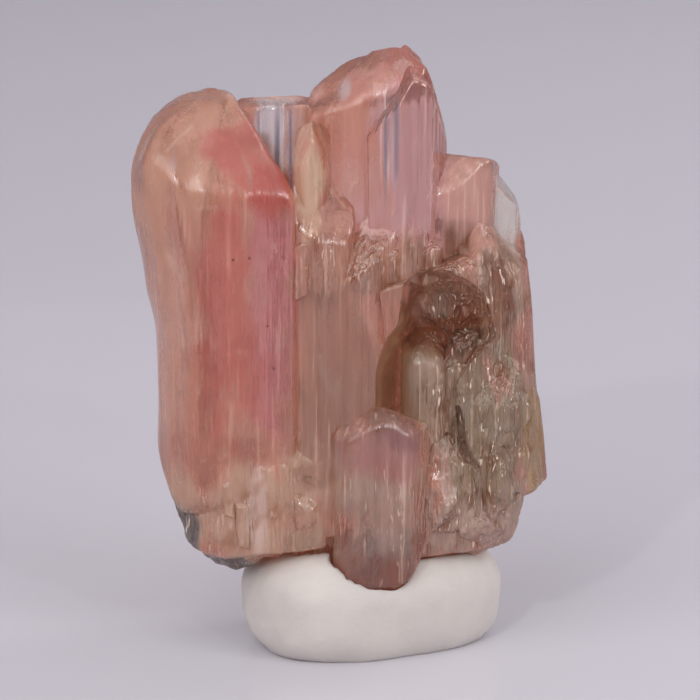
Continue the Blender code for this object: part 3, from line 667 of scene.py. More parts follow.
# Colour zones, in the order they are laid over each other: middle, half size, colour, roughness, how
# strongly the growth lines show, and how clear the stone is
zones = {
    "backPeach": ((-5.0, 3.4, 17.5), (2.8, 2.0, 5.5), (0.95, 0.58, 0.45), 0.26, 0.3, 0.8),
    "backPale": ((0.6, 4.2, 9.0), (2.2, 1.8, 4.0), (0.78, 0.54, 0.40), 0.34, 0.5, 0.65),
    "backPink": ((2.4, 3.2, 20.5), (2.8, 1.8, 4.0), (0.94, 0.50, 0.48), 0.2, 0.4, 0.9),
    "backOlive": ((5.6, 3.4, 9.6), (1.8, 1.8, 3.6), (0.50, 0.37, 0.25), 0.34, 0.5, 0.6),
    "leftFlank": ((-7.6, -1.5, 14.0), (1.5, 3.0, 7.0), (0.99, 0.59, 0.44), 0.24, 0.4, 0.85),
    "upperLeftPeach": ((-6.6, -1.0, 21.8), (3.0, 4.0, 3.2), (0.93, 0.55, 0.36), 0.28, 0.1, 0.8),
    "leftPink": ((-2.9, -3.0, 16.0), (1.3, 2.0, 5.0), (0.86, 0.30, 0.33), 0.2, 0.4, 0.85),
    "leftOrange": ((-5.6, -3.0, 12.0), (1.0, 2.0, 3.6), (0.84, 0.36, 0.24), 0.24, 0.35, 0.85),
    "darkRedBand": ((-4.8, -3.0, 15.8), (1.3, 2.0, 5.6), (0.78, 0.19, 0.14), 0.22, 0.4, 0.85),
    "ridgeRed": ((-3.6, -1.3, 22.3), (2.2, 3.0, 1.5), (0.74, 0.20, 0.15), 0.34, 0.1, 0.7),
    "ridgeDeep": ((-2.7, -2.4, 20.8), (1.1, 2.0, 1.2), (0.68, 0.13, 0.10), 0.34, 0.1, 0.7),
    "trough": ((-0.4, -3.0, 14.0), (1.5, 2.0, 6.5), (0.53, 0.285, 0.20), 0.3, 0.8, 0.75),
    "middleLower": ((0.6, -3.0, 11.5), (1.6, 1.6, 2.8), (0.49, 0.26, 0.18), 0.3, 0.6, 0.75),
    "peakFoot": ((0.3, -1.5, 20.6), (1.5, 2.5, 1.9), (0.94, 0.54, 0.42), 0.22, 0.4, 0.85),
    "lensYellow": ((-1.2, -1.8, 21.6), (0.8, 2.0, 2.9), (0.99, 0.69, 0.46), 0.2, 0.4, 0.65),
    "rightOrange": ((0.8, -0.5, 24.0), (1.9, 3.0, 2.8), (0.93, 0.43, 0.29), 0.26, 0.2, 0.85),
    "rightPink": ((3.4, -1.0, 21.0), (2.0, 3.0, 4.4), (0.99, 0.59, 0.57), 0.18, 0.5, 0.9),
    "rightTip": ((3.1, 0.0, 26.1), (1.4, 2.0, 0.8), (0.86, 0.32, 0.24), 0.2, 0.1, 0.7),
    "window": ((-2.7, 0.6, 22.4), (1.1, 1.2, 2.2), (0.95, 0.88, 0.90), 0.16, 0.8, 0.7),
    # Blue-grey bars and grey lines in the clear plate: painted refraction of darker surroundings seen through
    # its striations
    "windowLeftPaintedDarkBar": ((-2.66, 0.1, 22.4), (0.075, 0.6, 1.9), (0.20, 0.20, 0.30), 0.1, 1.0, 0.6),
    "windowRightPaintedDarkBar": ((-2.07, 0.2, 22.0), (0.075, 0.6, 2.1), (0.18, 0.17, 0.26), 0.1, 1.0, 0.6),
    "windowLeftPaintedDimLine": ((-3.46, 0.1, 22.8), (0.04, 0.6, 1.5), (0.42, 0.38, 0.44), 0.1, 1.0, 0.8),
    "windowRightPaintedDimLine": ((-3.2, 0.1, 22.6), (0.04, 0.6, 1.6), (0.42, 0.38, 0.44), 0.1, 1.0, 0.8),
    "windowRim": ((-2.7, 0.5, 24.5), (2.0, 1.2, 0.4), (0.97, 0.66, 0.58), 0.3, 0.1, 0.6),
    "lilacStreak": ((-7.0, -2.5, 20.4), (0.14, 0.9, 2.2), (0.92, 0.70, 0.74), 0.2, 0.1, 0.8),
    "clearPatch": ((0.2, -0.6, 25.0), (0.32, 0.8, 0.6), (0.97, 0.93, 0.92), 0.1, 0.1, 0.85),
    "columnBars": ((2.2, -1.6, 22.8), (0.5, 0.6, 2.4), (0.86, 0.66, 0.69), 0.14, 1.0, 0.85),
    # Grey-violet bars in the clear column: painted refraction of darker surroundings seen through its
    # striations
    "columnLeftPaintedDarkBar": ((2.0, -1.8, 22.6), (0.10, 0.6, 2.2), (0.30, 0.26, 0.32), 0.14, 1.0, 0.7),
    "columnRightPaintedDarkBar": ((2.45, -1.9, 23.0), (0.11, 0.6, 2.2), (0.34, 0.30, 0.37), 0.14, 1.0, 0.7),
    "shoulderPeach": ((5.8, 0.0, 20.0), (1.4, 3.0, 2.8), (0.88, 0.49, 0.39), 0.34, 0.5, 0.7),
    "clearRight": ((7.4, 1.8, 19.4), (0.8, 2.0, 2.4), (0.97, 0.94, 0.90), 0.22, 0.3, 0.75),
    # Darker brown along the middle shelf: partly the stone's colour, partly painted shade below the ledge
    "middleShelfAndShade": ((3.4, -2.6, 17.4), (5.0, 1.6, 1.2), (0.62, 0.34, 0.23), 0.3, 0.6, 0.7),
    "pitRightSide": ((6.7, -1.0, 15.6), (1.9, 2.4, 2.4), (0.60, 0.43, 0.31), 0.36, 0.5, 0.6),
    # Dark brown in the pit and on its left wall: partly the stone's colour, partly painted shade inside the
    # pit
    "pitBrownAndShade": ((4.6, -0.8, 14.9), (3.3, 1.8, 3.2), (0.22, 0.075, 0.03), 0.42, 0.3, 0.55),
    "pitSideBrownAndShade": ((2.2, -1.0, 11.8), (0.8, 1.6, 3.4), (0.46, 0.26, 0.13), 0.35, 0.3, 0.6),
    "pinkFoot": ((5.4, -1.4, 6.6), (3.3, 2.8, 3.2), (0.57, 0.42, 0.34), 0.38, 0.5, 0.6),
    "greyGreen": ((6.1, -1.4, 10.2), (2.2, 2.6, 3.8), (0.37, 0.275, 0.17), 0.38, 0.5, 0.55),
    "pitCrystal": ((3.8, -2.0, 11.6), (1.15, 0.75, 2.5), (0.42, 0.30, 0.20), 0.32, 0.7, 0.6),
    # Darker brown at the pit's front: partly the stone's colour, partly painted shade inside the pit
    "pitFrontBrownAndShade": ((5.3, -2.0, 15.3), (1.7, 1.7, 2.0), (0.29, 0.14, 0.07), 0.4, 0.6, 0.55),
    # Darker brown down the groove: painted shade in the crease
    "groove": ((5.3, -1.4, 9.8), (0.4, 1.0, 2.2), (0.28, 0.19, 0.12), 0.36, 0.2, 0.5),
    "oliveEdge": ((8.6, 0.3, 9.3), (0.55, 2.5, 3.0), (0.66, 0.46, 0.20), 0.28, 0.4, 0.75),
    "lowerFront": ((1.8, -3.3, 6.7), (2.4, 1.9, 3.1), (0.56, 0.41, 0.33), 0.32, 0.9, 0.65),
    "lowerFrontPink": ((1.9, -3.6, 9.5), (1.8, 1.2, 1.3), (0.60, 0.30, 0.28), 0.34, 0.6, 0.7),
    "lowerRoot": ((1.5, -3.0, 3.7), (2.5, 2.4, 1.2), (0.38, 0.14, 0.09), 0.26, 0.7, 0.65),
    "cloudyLeft": ((-3.4, -2.6, 6.2), (3.6, 2.4, 2.5), (0.76, 0.53, 0.37), 0.3, 0.15, 0.7),
    "cloudyStreak": ((-3.5, -3.1, 6.6), (0.4, 0.9, 2.0), (0.88, 0.70, 0.60), 0.3, 0.2, 0.6),
    # Soft brown in the notch: painted shade of the small recess
    "notchPaintedShade": ((-0.95, -2.9, 8.3), (0.8, 0.9, 0.6), (0.50, 0.30, 0.21), 0.36, 0.3, 0.6),
    # Near-black underside of the left lump: partly grey matrix, partly painted shade under its overhang
    "greyUndersideAndShade": ((-5.4, -2.2, 4.0), (1.9, 2.4, 0.6), (0.14, 0.115, 0.105), 0.24, 0.3, 0.25),
    "greyEdge": ((-6.75, -1.2, 4.9), (0.95, 2.3, 1.6), (0.17, 0.145, 0.14), 0.26, 0.9, 0.3),
}

# The stone between the zones. Absorption is for each metre of the way through it, and the coat is the clear
# gloss on the glossiest and on the dullest faces.
stone = {
    "colour": (0.84, 0.42, 0.30), "roughness": 0.24, "lined": 0.5, "clear": 0.85,
    # The pale colour of the clouds, also used for the painted glints
    "cloudAndGlintColour": (0.96, 0.74, 0.60),
    "ior": 1.69, "absorbedColour": (0.96, 0.5, 0.3), "density": 60.0,
    "coat": (0.45, 0.06), "coatRange": (0.2, 0.34), "coatRoughness": 0.04,
    "streakScale": (5.0, 5.0, 0.16), "streakShading": 0.18,
    "scratchRange": (0.63, 0.68), "scratchAndGlintStrength": 0.5,
    "fleckScale": (6.0, 6.0, 1.3), "fleckGlintRange": (0.66, 0.71), "fleckGlintStrength": 0.9,
    "lineRelief": 0.06, "fleckRelief": 0.26, "smoothFleckGlints": 0.15, "smoothRelief": 0.05,
    "streakRange": (0.3, 0.7), "noiseDetail": 1.0, "noiseRoughness": 0.6, "paleClearness": 0.3,
}

# Dark specks on the front face, as small balls drawn out along Y
specks = [(-4.5, -3.3, 18.0), (-3.8, -3.2, 18.05), (-2.8, -3.0, 13.1), (-3.05, -3.0, 15.0)]
speckScale = (1.0, 0.2, 1.0)
speckRadius = 0.045
speckFade = 1.6  # times the radius, where a speck is gone
speckColour = (0.09, 0.012, 0.012)

# Patterns over the surface: their stretch along X, Y and Z, their width, seed and octaves
patterns = {
    "brokenEdge": ((1, 1, 1), 1.8, 3, 2),
    "ripple": ((1, 1, 0.5), 2.6, 11, 2),
    "zoneEdge": ((1.2, 1, 0.5), 2.4, 21, 2),
    "zoneEdgeFine": ((1.5, 1, 0.4), 0.8, 22, 2),
    "bands": ((1, 1, 0.09), 1.3, 31, 3),
    "clouds": ((1, 1, 0.6), 1.9, 32, 3),
    "crackPath": ((1, 1, 1), 1.5, 33, 2),
    "crackPlaces": ((1, 1, 1), 2.2, 35, 2),
    "stains": ((1, 1, 0.7), 1.1, 36, 3),
    "edgeHighlightGaps": ((1, 1, 1), 1.1, 61, 2),
}

# Two sets of chips in the broken zones, each with its cell size, depth for each millimetre, and seed
chipSets = [(0.8, 0.16, 5), (0.35, 0.1, 6)]
deepestChip = 0.2
rippleDepth = 0.018
chipTilt = 1.6
chipStagger = 0.5
brokenWarp = 0.15  # how uneven the edges of the broken zones are

# A zone's share is full inside it and gone at its reach. Its colour's edge is warped, and less so on small
# zones.
zoneEdge = {"reach": 1.3, "fade": 0.6, "wideWarp": 0.24, "fineWarp": 0.13, "smallZones": 1.2}

# What shades the stone, with painted highlights along its ridges among them. Smooth and broken are how much
# of it shows there, and from is where the pattern starts.
bands = {"shade": 0.09, "unlined": 0.2, "roughness": 0.06}
clouds = {"height": 0.9, "from": 0.15, "smooth": 0.1, "broken": 0.4}
cracks = {
    "size": 2.2, "width": 0.1, "seed": 34, "stretch": (1, 1, 0.6), "bend": 0.4, "height": 1.5,
    "strength": 0.45,
}
# Painted highlights: pale broken lines along the ridges, standing for light caught on the edges
edgeHighlight = {"from": 0.16, "over": 0.15, "strength": 0.7, "smooth": 0.3, "broken": 0.7, "gaps": (0.4, 0.9)}
stains = {"from": 0.55, "height": 1.2, "most": 0.6, "smooth": 0.1, "absorbed": (0.5, 0.75, 0.95)}
# How the pale marks change the stone: its own clouds and cracks, and the painted ridge highlights
paleStoneAndGlints = {"brightness": 1.35, "roughness": 0.25, "clearness": 0.5}
roughnessRange = (0.02, 0.9)
brightest = 0.97
sharpAngle = math.radians(28)


def pattern(kind, points):
    # Soft noise with the pattern's stretch, width, seed and octaves
    stretch, width, seed, octaves = patterns[kind]
    return softNoise(points * stretch, width, seed, octaves)


def inZone(points, centre, halfSize, warp=0.0):
    # 1 inside an ellipsoid, falling as t^2 (3 - 2 t) to 0 at its reach. Warp makes its edge uneven.
    reach = np.linalg.norm((points - centre) / halfSize, axis=1) + warp
    share = np.clip((zoneEdge["reach"] - reach) / zoneEdge["fade"], 0, 1)
    return share * share * (3 - 2 * share)


def cellDraws(cell, seed):
    # Seven even random numbers for each cell of a cubic grid, from its whole-number place: products with
    # large primes, less their whole multiples of another prime
    mixed = (cell @ np.array([73856093, 19349663, 83492791]) + seed * 2654435) % 1000003
    turns = np.array([7919, 104729, 1299709, 15485863, 32452843, 49979687, 67867967])
    return (mixed[:, None] * turns % 1000003) / 1000003


def chips(points, seed, size):
    # Scattered seeds, one in each cell of a cubic grid, each with a plane tilted its own way. The result is
    # the distance to the nearest seed's plane, so flat chips meet in sharp steps.
    home = np.floor(points / size).astype(int)
    nearest = np.full(len(points), np.inf)
    result = np.zeros(len(points))
    for offset in np.ndindex(3, 3, 3):
        cell = home + np.array(offset) - 1
        draw = cellDraws(cell, seed)
        apart = points - (cell + draw[:, :3]) * size
        reach = (apart ** 2).sum(axis=1)
        tilted = (apart * (draw[:, 3:6] - 0.5) * chipTilt).sum(axis=1)
        tilted += (draw[:, 6] - 0.5) * chipStagger * size
        result = np.where(reach < nearest, tilted, result)
        nearest = np.minimum(nearest, reach)
    return result


def veins(points, seed, size, width):
    # 1 along the thin borders between the cells of scattered seeds, fading to 0 at the width: the
    # difference of the distances to the two nearest seeds is small there
    home = np.floor(points / size).astype(int)
    first = np.full(len(points), np.inf)
    second = np.full(len(points), np.inf)
    for offset in np.ndindex(3, 3, 3):
        cell = home + np.array(offset) - 1
        apart = np.linalg.norm(points - (cell + cellDraws(cell, seed)[:, :3]) * size, axis=1)
        second = np.minimum(second, np.maximum(first, apart))
        first = np.minimum(first, apart)
    return np.clip(1 - (second - first) / width, 0, 1)


def paintEdgeHighlights(mesh, points, outward):
    # How far each vertex stands out from the middle of its neighbours, for each millimetre to them:
    # positive on ridges, where it paints a broken pale line, a painted highlight along the edge
    ends = np.empty(len(mesh.edges) * 2, np.int32)
    mesh.edges.foreach_get("vertices", ends)
    first, second = ends.reshape(-1, 2).T
    step = np.linalg.norm(points[first] - points[second], axis=1)
    total, length, count = np.zeros((len(points), 3)), np.zeros(len(points)), np.zeros(len(points))
    for here, other in ((first, second), (second, first)):
        count += np.bincount(here, minlength=len(points))
        length += np.bincount(here, step, len(points))
        for axis in range(3):
            total[:, axis] += np.bincount(here, points[other, axis], len(points))
    apart = points - total / count[:, None]
    standing = (apart * outward).sum(axis=1) / (length / count)
    middle, spread = edgeHighlight["gaps"]
    broken = np.clip(middle + spread * pattern("edgeHighlightGaps", points), 0, 1)
    return edgeHighlight["strength"] * np.clip((standing - edgeHighlight["from"]) / edgeHighlight["over"], 0, 1) * broken


def breakSurface(mesh, points, outward):
    # Broken zones get flat chips along the outward direction, and the whole surface a slight ripple. The
    # result is how rough each vertex is.
    rough = np.zeros(len(points))
    edge = brokenWarp * pattern("brokenEdge", points)
    for centre, halfSize, amount in brokenZones:
        rough = np.maximum(rough, amount * inZone(points, centre, halfSize, edge))
    fracture = sum(chips(points, seed, size) * depth for size, depth, seed in chipSets)
    depth = rough * np.clip(fracture, -deepestChip, deepestChip) + rippleDepth * pattern("ripple", points)
    writePoints(mesh, points + outward * depth[:, None])
    return rough


def zoneColours(points):
    # Each vertex's colour, roughness, lines and clearness: every zone is mixed over the ones before it
    tone = np.tile(stone["colour"], (len(points), 1)).astype(float)
    traits = np.tile([stone["roughness"], stone["lined"], stone["clear"]], (len(points), 1))
    warp = zoneEdge["wideWarp"] * pattern("zoneEdge", points)
    warp += zoneEdge["fineWarp"] * pattern("zoneEdgeFine", points)
    for centre, halfSize, colour, *trait in zones.values():
        limit = min(1, zoneEdge["smallZones"] * min(halfSize))
        share = inZone(points, centre, halfSize, warp * limit)[:, None]
        tone += share * (np.array(colour) - tone)
        traits += share * (np.array(trait) - traits)
    return tone, *traits.T


def finishCluster(cluster):
    # The broken zones are chipped, and each vertex takes its zone's colour and finish, with soft bands
    # along the crystals, pale clouds, healed cracks, painted highlights along the ridges, and brown stains
    mesh = cluster.data
    points, outward = readPoints(mesh)
    rough = breakSurface(mesh, points, outward)
    tone, dull, lined, clear = zoneColours(points)
    banded = pattern("bands", points)
    cloudy = np.clip(pattern("clouds", points) * clouds["height"] - clouds["from"], 0, 1)
    cloudy *= clouds["smooth"] + clouds["broken"] * rough
    bent = points * cracks["stretch"] + cracks["bend"] * pattern("crackPath", points)[:, None]
    healed = veins(bent, cracks["seed"], cracks["size"], cracks["width"])
    healed *= np.clip(pattern("crackPlaces", points) * cracks["height"], 0, 1)
    # Painted highlights along the ridges, stronger in the broken zones; they join the pale clouds and cracks
    ridgeHighlight = paintEdgeHighlights(mesh, points, outward) * (edgeHighlight["smooth"] + edgeHighlight["broken"] * rough)
    paleAndGlints = np.clip(cloudy + cracks["strength"] * healed + ridgeHighlight, 0, 1)
    tone *= (1 + bands["shade"] * banded * (bands["unlined"] + lined))[:, None]
    paleTone = np.array(stone["cloudAndGlintColour"]) * tone.mean(axis=1)[:, None] * paleStoneAndGlints["brightness"]
    tone += paleAndGlints[:, None] * (paleTone - tone)
    stained = np.clip(-pattern("stains", points) - stains["from"], 0, 1)
    stained *= np.clip(rough + stains["smooth"], 0, 1)
    tone *= 1 - np.clip(stained * stains["height"], 0, stains["most"])[:, None] * stains["absorbed"]
    dull = np.clip(dull + bands["roughness"] * banded + paleStoneAndGlints["roughness"] * paleAndGlints, *roughnessRange)
    clear = np.clip(clear * (1 - paleStoneAndGlints["clearness"] * paleAndGlints), 0, 1)
    layers = {
        "tone": [np.clip(tone, 0, brightest), dull],
        "finish": [np.clip(lined, 0, 1), np.clip(rough, 0, 1), clear, np.ones(len(points))],
    }
    for name, columns in layers.items():
        layer = mesh.attributes.new(name, "FLOAT_COLOR", "POINT")
        layer.data.foreach_set("color", np.column_stack(columns).ravel().astype(np.float32))
    mesh.shade_smooth()
    mesh.set_sharp_from_angle(angle=sharpAngle)
    mesh.update()


putty = {
    "centre": (1.35, 0.35, 1.9), "halfSize": (5.75, 4.15, 3.0), "turn": 22.0, "squareness": 2.6,
    "rings": 110, "count": 220, "dents": (0.02, 7.0, 71), "fineDents": (0.004, 1.6, 72),
    "pressedIn": ("lowerFrontCrystal", "root", "lowerRightChunk", "leftFoot"),
    "lumpsPressedIn": ("cloudyLump", "cloudyLumpRight", "greyFoot", "pinkFoot"),
    "gap": 0.06, "steepness": 3.0, "flare": 40,
    "colour": (0.72, 0.665, 0.62), "shadowColour": (0.65, 0.60, 0.565),
    "mottleScale": (0.35, 0.35, 0.35), "grainScale": (6.0, 6.0, 6.0), "bumpDepth": 0.04,
    "mottleRange": (0.35, 0.65), "mottleDetail": 4.0, "mottleRelief": 3.0, "bumpStrength": 0.5,
    "grainRange": (0.3, 0.7), "grainDetail": 3.0, "roughness": (0.5, 0.7),
    "softness": 0.3, "softRadius": (1.0, 0.8, 0.7), "softDepth": 1.2,
}


def outsideBy(points, corners):
    # Signed distance in plan from a convex outline's sides, negative inside it
    ends = np.roll(corners, -1, axis=0)
    along = ends - corners
    outward = np.stack([along[:, 1], -along[:, 0]], axis=1)
    outward /= np.linalg.norm(outward, axis=1)[:, None]
    return ((points[:, None, :2] - corners[None]) * outward[None]).sum(axis=2).max(axis=1)


def socketHeight(points):
    # The highest that the putty may reach: just under the base of each crystal pressed into it, and rising
    # steeply beside the crystal, z = base - gap + steepness * distance + flare * distance^2
    height = np.full(len(points), np.inf)
    for name in putty["pressedIn"]:
        spec = crystals[name]
        low, high = spec["heights"]
        beside = outsideBy(points, np.array(spec["section"]))
        base = endHeight(spec["base"], points[:, 0], points[:, 1], (0, 0), high, low, -1, edgeRounding)
        over = np.maximum(beside - putty["gap"], 0)
        reach = base - putty["gap"] + putty["steepness"] * over + putty["flare"] * over ** 2
        height = np.minimum(height, reach)
    for name in putty["lumpsPressedIn"]:
        centre, half = np.array(lumps[name]["centre"]), np.array(lumps[name]["halfSize"]) + putty["gap"]
        apart = (((points - centre) / half)[:, :2] ** 2).sum(axis=1)
        under = centre[2] - half[2] * np.sqrt(np.maximum(1 - apart, 0))
        height = np.minimum(height, np.where(apart < 1, under, np.inf))
    return height


def puttyPiece():
    # A squarish ball, |x|^n + |y|^n + |z|^n = 1, stretched, dented, turned, pressed down by the crystals
    # and cut flat at the floor, as a globe's grid
    rings, count = putty["rings"], putty["count"]
    way = globeDirections(rings, count)
    n = putty["squareness"]
    points = way * (np.abs(way) ** n).sum(axis=1)[:, None] ** (-1 / n) * putty["halfSize"]
    (deep, wide, seed), (fineDeep, fineWide, fineSeed) = putty["dents"], putty["fineDents"]
    dents = 1 + deep * softNoise(points, wide, seed) + fineDeep * softNoise(points, fineWide, fineSeed)
    points *= dents[:, None]
    turn = math.radians(putty["turn"])
    spin = np.array([[math.cos(turn), -math.sin(turn), 0], [math.sin(turn), math.cos(turn), 0], [0, 0, 1]])
    points = points @ spin.T + putty["centre"]
    points[:, 2] = np.minimum(points[:, 2], socketHeight(points))
    points[:, 2] = np.maximum(points[:, 2], 0)
    return globePiece("puttyLump", points, rings, count)


def node(tree, kind, **settings):
    # A shader node. A setting is one of its options, or else the value of a socket.
    made = tree.nodes.new("ShaderNode" + kind)
    for name, value in settings.items():
        if hasattr(made, name):
            setattr(made, name, value)
        else:
            made.inputs[name.replace("_", " ")].default_value = value
    return made


def newMaterial(name):
    # An empty material with its tree, its shader and its output
    material = bpy.data.materials.new(name)
    material.use_nodes = True
    tree = material.node_tree
    return material, tree, tree.nodes["Principled BSDF"], tree.nodes["Material Output"]


def stretchedNoise(tree, place, scale, detail=3.0, rough=0.55):
    # Noise on the object's own coordinates in millimetres, stretched by a scale for each axis
    mapping = node(tree, "Mapping", Scale=[value / mm for value in scale])
    noise = node(tree, "TexNoise", Scale=1.0, Detail=detail, Roughness=rough)
    tree.links.new(place, mapping.inputs["Vector"])
    tree.links.new(mapping.outputs["Vector"], noise.inputs["Vector"])
    return noise.outputs["Fac"]


def remap(tree, source, fromLow, fromHigh, toLow, toHigh):
    # toLow + (toHigh - toLow) (source - fromLow) / (fromHigh - fromLow), kept between the two ends
    step = node(tree, "MapRange", From_Min=fromLow, From_Max=fromHigh, To_Min=toLow, To_Max=toHigh)
    tree.links.new(source, step.inputs["Value"])
    return step.outputs["Result"]


def combine(tree, operation, *values):
    # A sum, product or the like of sockets and plain numbers
    step = node(tree, "Math", operation=operation)
    for socket, value in zip(step.inputs, values):
        if isinstance(value, (int, float)):
            socket.default_value = value
        else:
            tree.links.new(value, socket)
    return step.outputs["Value"]


def mixColour(tree, share, first, second):
    # first + share (second - first), for colours or sockets
    step = node(tree, "Mix", data_type="RGBA")
    tree.links.new(share, step.inputs[0])
    for socket, value in zip((step.inputs[6], step.inputs[7]), (first, second)):
        if isinstance(value, tuple):
            socket.default_value = (*value, 1)
        else:
            tree.links.new(value, socket)
    return step.outputs[2]


def speckShare(tree, place, shift):
    # 1 within a speck's radius of the nearest speck, fading to 0 further out
    spot = node(tree, "VectorMath", operation="MULTIPLY")
    tree.links.new(place, spot.inputs[0])
    spot.inputs[1].default_value = [reach / mm for reach in speckScale]
    nearest = 1.0
    for speck in specks:
        apart = node(tree, "VectorMath", operation="DISTANCE")
        tree.links.new(spot.outputs["Vector"], apart.inputs[0])
        apart.inputs[1].default_value = (np.add(speck, shift) * speckScale).tolist()
        nearest = combine(tree, "MINIMUM", apart.outputs["Value"], nearest)
    return remap(tree, nearest, speckRadius, speckRadius * speckFade, 1, 0)


def stoneMaterial(shift):
    # See-through stone in the vertices' colours, with streaks, scratches, painted glints as pale flecks and
    # dark specks
    material, tree, shader, output = newMaterial("tanzaniteStone")
    link = tree.links.new
    place = node(tree, "TexCoord").outputs["Object"]
    tone = node(tree, "Attribute", attribute_name="tone")
    finish = node(tree, "SeparateColor")
    link(node(tree, "Attribute", attribute_name="finish").outputs["Color"], finish.inputs[0])
    lined, broken, clear = finish.outputs["Red"], finish.outputs["Green"], finish.outputs["Blue"]
    # Streaks along the crystals darken and lighten the colour; the strongest are pale scratches, partly
    # painted glints
    fineness = (stone["noiseDetail"], stone["noiseRoughness"])
    streaks = stretchedNoise(tree, place, stone["streakScale"], *fineness)
    shading = remap(tree, streaks, *stone["streakRange"], -stone["streakShading"], stone["streakShading"])
    shade = node(tree, "VectorMath", operation="SCALE")
    link(tone.outputs["Color"], shade.inputs[0])
    link(combine(tree, "MULTIPLY_ADD", shading, lined, 1.0), shade.inputs["Scale"])
    scratchesAndGlints = remap(tree, streaks, *stone["scratchRange"], 0, stone["scratchAndGlintStrength"])
    flecks = stretchedNoise(tree, place, stone["fleckScale"], *fineness)
    # Pale flecks, strongest in the broken zones, are painted glints
    strong = remap(tree, flecks, *stone["fleckGlintRange"], 0, stone["fleckGlintStrength"])
    fleckGlint = combine(tree, "MULTIPLY", strong, combine(tree, "ADD", broken, stone["smoothFleckGlints"]))
    paleAndGlints = combine(tree, "MAXIMUM", combine(tree, "MULTIPLY", scratchesAndGlints, lined), fleckGlint)
    colour = mixColour(tree, paleAndGlints, shade.outputs["Vector"], stone["cloudAndGlintColour"])
    link(mixColour(tree, speckShare(tree, place, shift), colour, speckColour), shader.inputs["Base Color"])
    link(tone.outputs["Alpha"], shader.inputs["Roughness"])
    seeThrough = combine(tree, "MULTIPLY", clear, remap(tree, paleAndGlints, 0, 1, 1, stone["paleClearness"]))
    link(seeThrough, shader.inputs["Transmission Weight"])
    lines = combine(tree, "MULTIPLY", combine(tree, "MULTIPLY", streaks, stone["lineRelief"]), lined)
    grains = combine(tree, "MULTIPLY", flecks, stone["fleckRelief"])
    grains = combine(tree, "MULTIPLY", grains, combine(tree, "ADD", broken, stone["smoothRelief"]))
    bump = node(tree, "Bump", Strength=1.0, Distance=mm)
    link(combine(tree, "ADD", lines, grains), bump.inputs["Height"])
    link(bump.outputs["Normal"], shader.inputs["Normal"])
    link(bump.outputs["Normal"], shader.inputs["Coat Normal"])
    shader.inputs["IOR"].default_value = stone["ior"]
    # Glossy faces carry the clear coat, dull ones almost none
    coat = remap(tree, tone.outputs["Alpha"], *stone["coatRange"], *stone["coat"])
    link(coat, shader.inputs["Coat Weight"])
    shader.inputs["Coat Roughness"].default_value = stone["coatRoughness"]
    inside = node(tree, "VolumeAbsorption", Color=(*stone["absorbedColour"], 1), Density=stone["density"])
    link(inside.outputs["Volume"], output.inputs["Volume"])
    return material


def puttyMaterial():
    # Matte white putty, faintly mottled and grained, with a little light spreading under its surface
    material, tree, shader, _ = newMaterial("whitePutty")
    link = tree.links.new
    place = node(tree, "TexCoord").outputs["Object"]
    mottled = stretchedNoise(tree, place, putty["mottleScale"], putty["mottleDetail"])
    fine = stretchedNoise(tree, place, putty["grainScale"], putty["grainDetail"])
    share = remap(tree, mottled, *putty["mottleRange"], 0, 1)
    link(mixColour(tree, share, putty["colour"], putty["shadowColour"]), shader.inputs["Base Color"])
    link(remap(tree, fine, *putty["grainRange"], *putty["roughness"]), shader.inputs["Roughness"])
    shader.inputs["Subsurface Weight"].default_value = putty["softness"]
    shader.inputs["Subsurface Radius"].default_value = putty["softRadius"]
    shader.inputs["Subsurface Scale"].default_value = putty["softDepth"] * mm
    bump = node(tree, "Bump", Strength=putty["bumpStrength"], Distance=putty["bumpDepth"] * mm)
    height = combine(tree, "ADD", combine(tree, "MULTIPLY", mottled, putty["mottleRelief"]), fine)
    link(height, bump.inputs["Height"])
    link(bump.outputs["Normal"], shader.inputs["Normal"])
    return material


# The sweep's half width, front edge, start of the bend, its radius, and the back's height. The air is the
# soft light all round.
studio = {
    "half": 360.0, "front": -360.0, "bend": 190.0, "radius": 60.0, "height": 240.0, "arcSteps": 24,
    "surface": (0.635, 0.61, 0.66), "surfaceRoughness": 0.07,
    "air": (0.66, 0.635, 0.68), "airStrength": 0.88, "horizonStrength": 0.31, "frontShare": 0.25,
    "horizonToTop": (-0.1, 0.8), "frontToSide": (-0.95, -0.55),
}


def studioSweep():
    # A profile carried along X: flat floor, a quarter circle, and an upright back
    bend, radius = studio["bend"], studio["radius"]
    arc = np.linspace(0, np.pi / 2, studio["arcSteps"])
    profile = np.concatenate([
        [[studio["front"], 0.0]],
        np.column_stack([bend + radius * np.sin(arc), radius - radius * np.cos(arc)]),
        [[bend + radius, studio["height"]]],
    ])
    across = np.linspace(-studio["half"], studio["half"], 3)
    points = np.empty((len(across), len(profile), 3))
    points[..., 0] = across[:, None]
    points[..., 1:] = profile
    rows, columns = np.meshgrid(np.arange(len(across) - 1), np.arange(len(profile) - 1), indexing="ij")
    first = rows * len(profile) + columns
    quads = np.stack([first, first + len(profile), first + len(profile) + 1, first + 1], -1).reshape(-1, 4)
    mesh = bpy.data.meshes.new("studioSweep")
    mesh.from_pydata((points.reshape(-1, 3) * mm).tolist(), [], quads.tolist())
    mesh.shade_smooth()
    sweep = bpy.data.objects.new("studioSweep", mesh)
    bpy.context.scene.collection.objects.link(sweep)
    material, _, shader, _ = newMaterial("studioSurface")
    shader.inputs["Base Color"].default_value = (*studio["surface"], 1)
    shader.inputs["Roughness"].default_value = studio["surfaceRoughness"]
    mesh.materials.append(material)
    return sweep


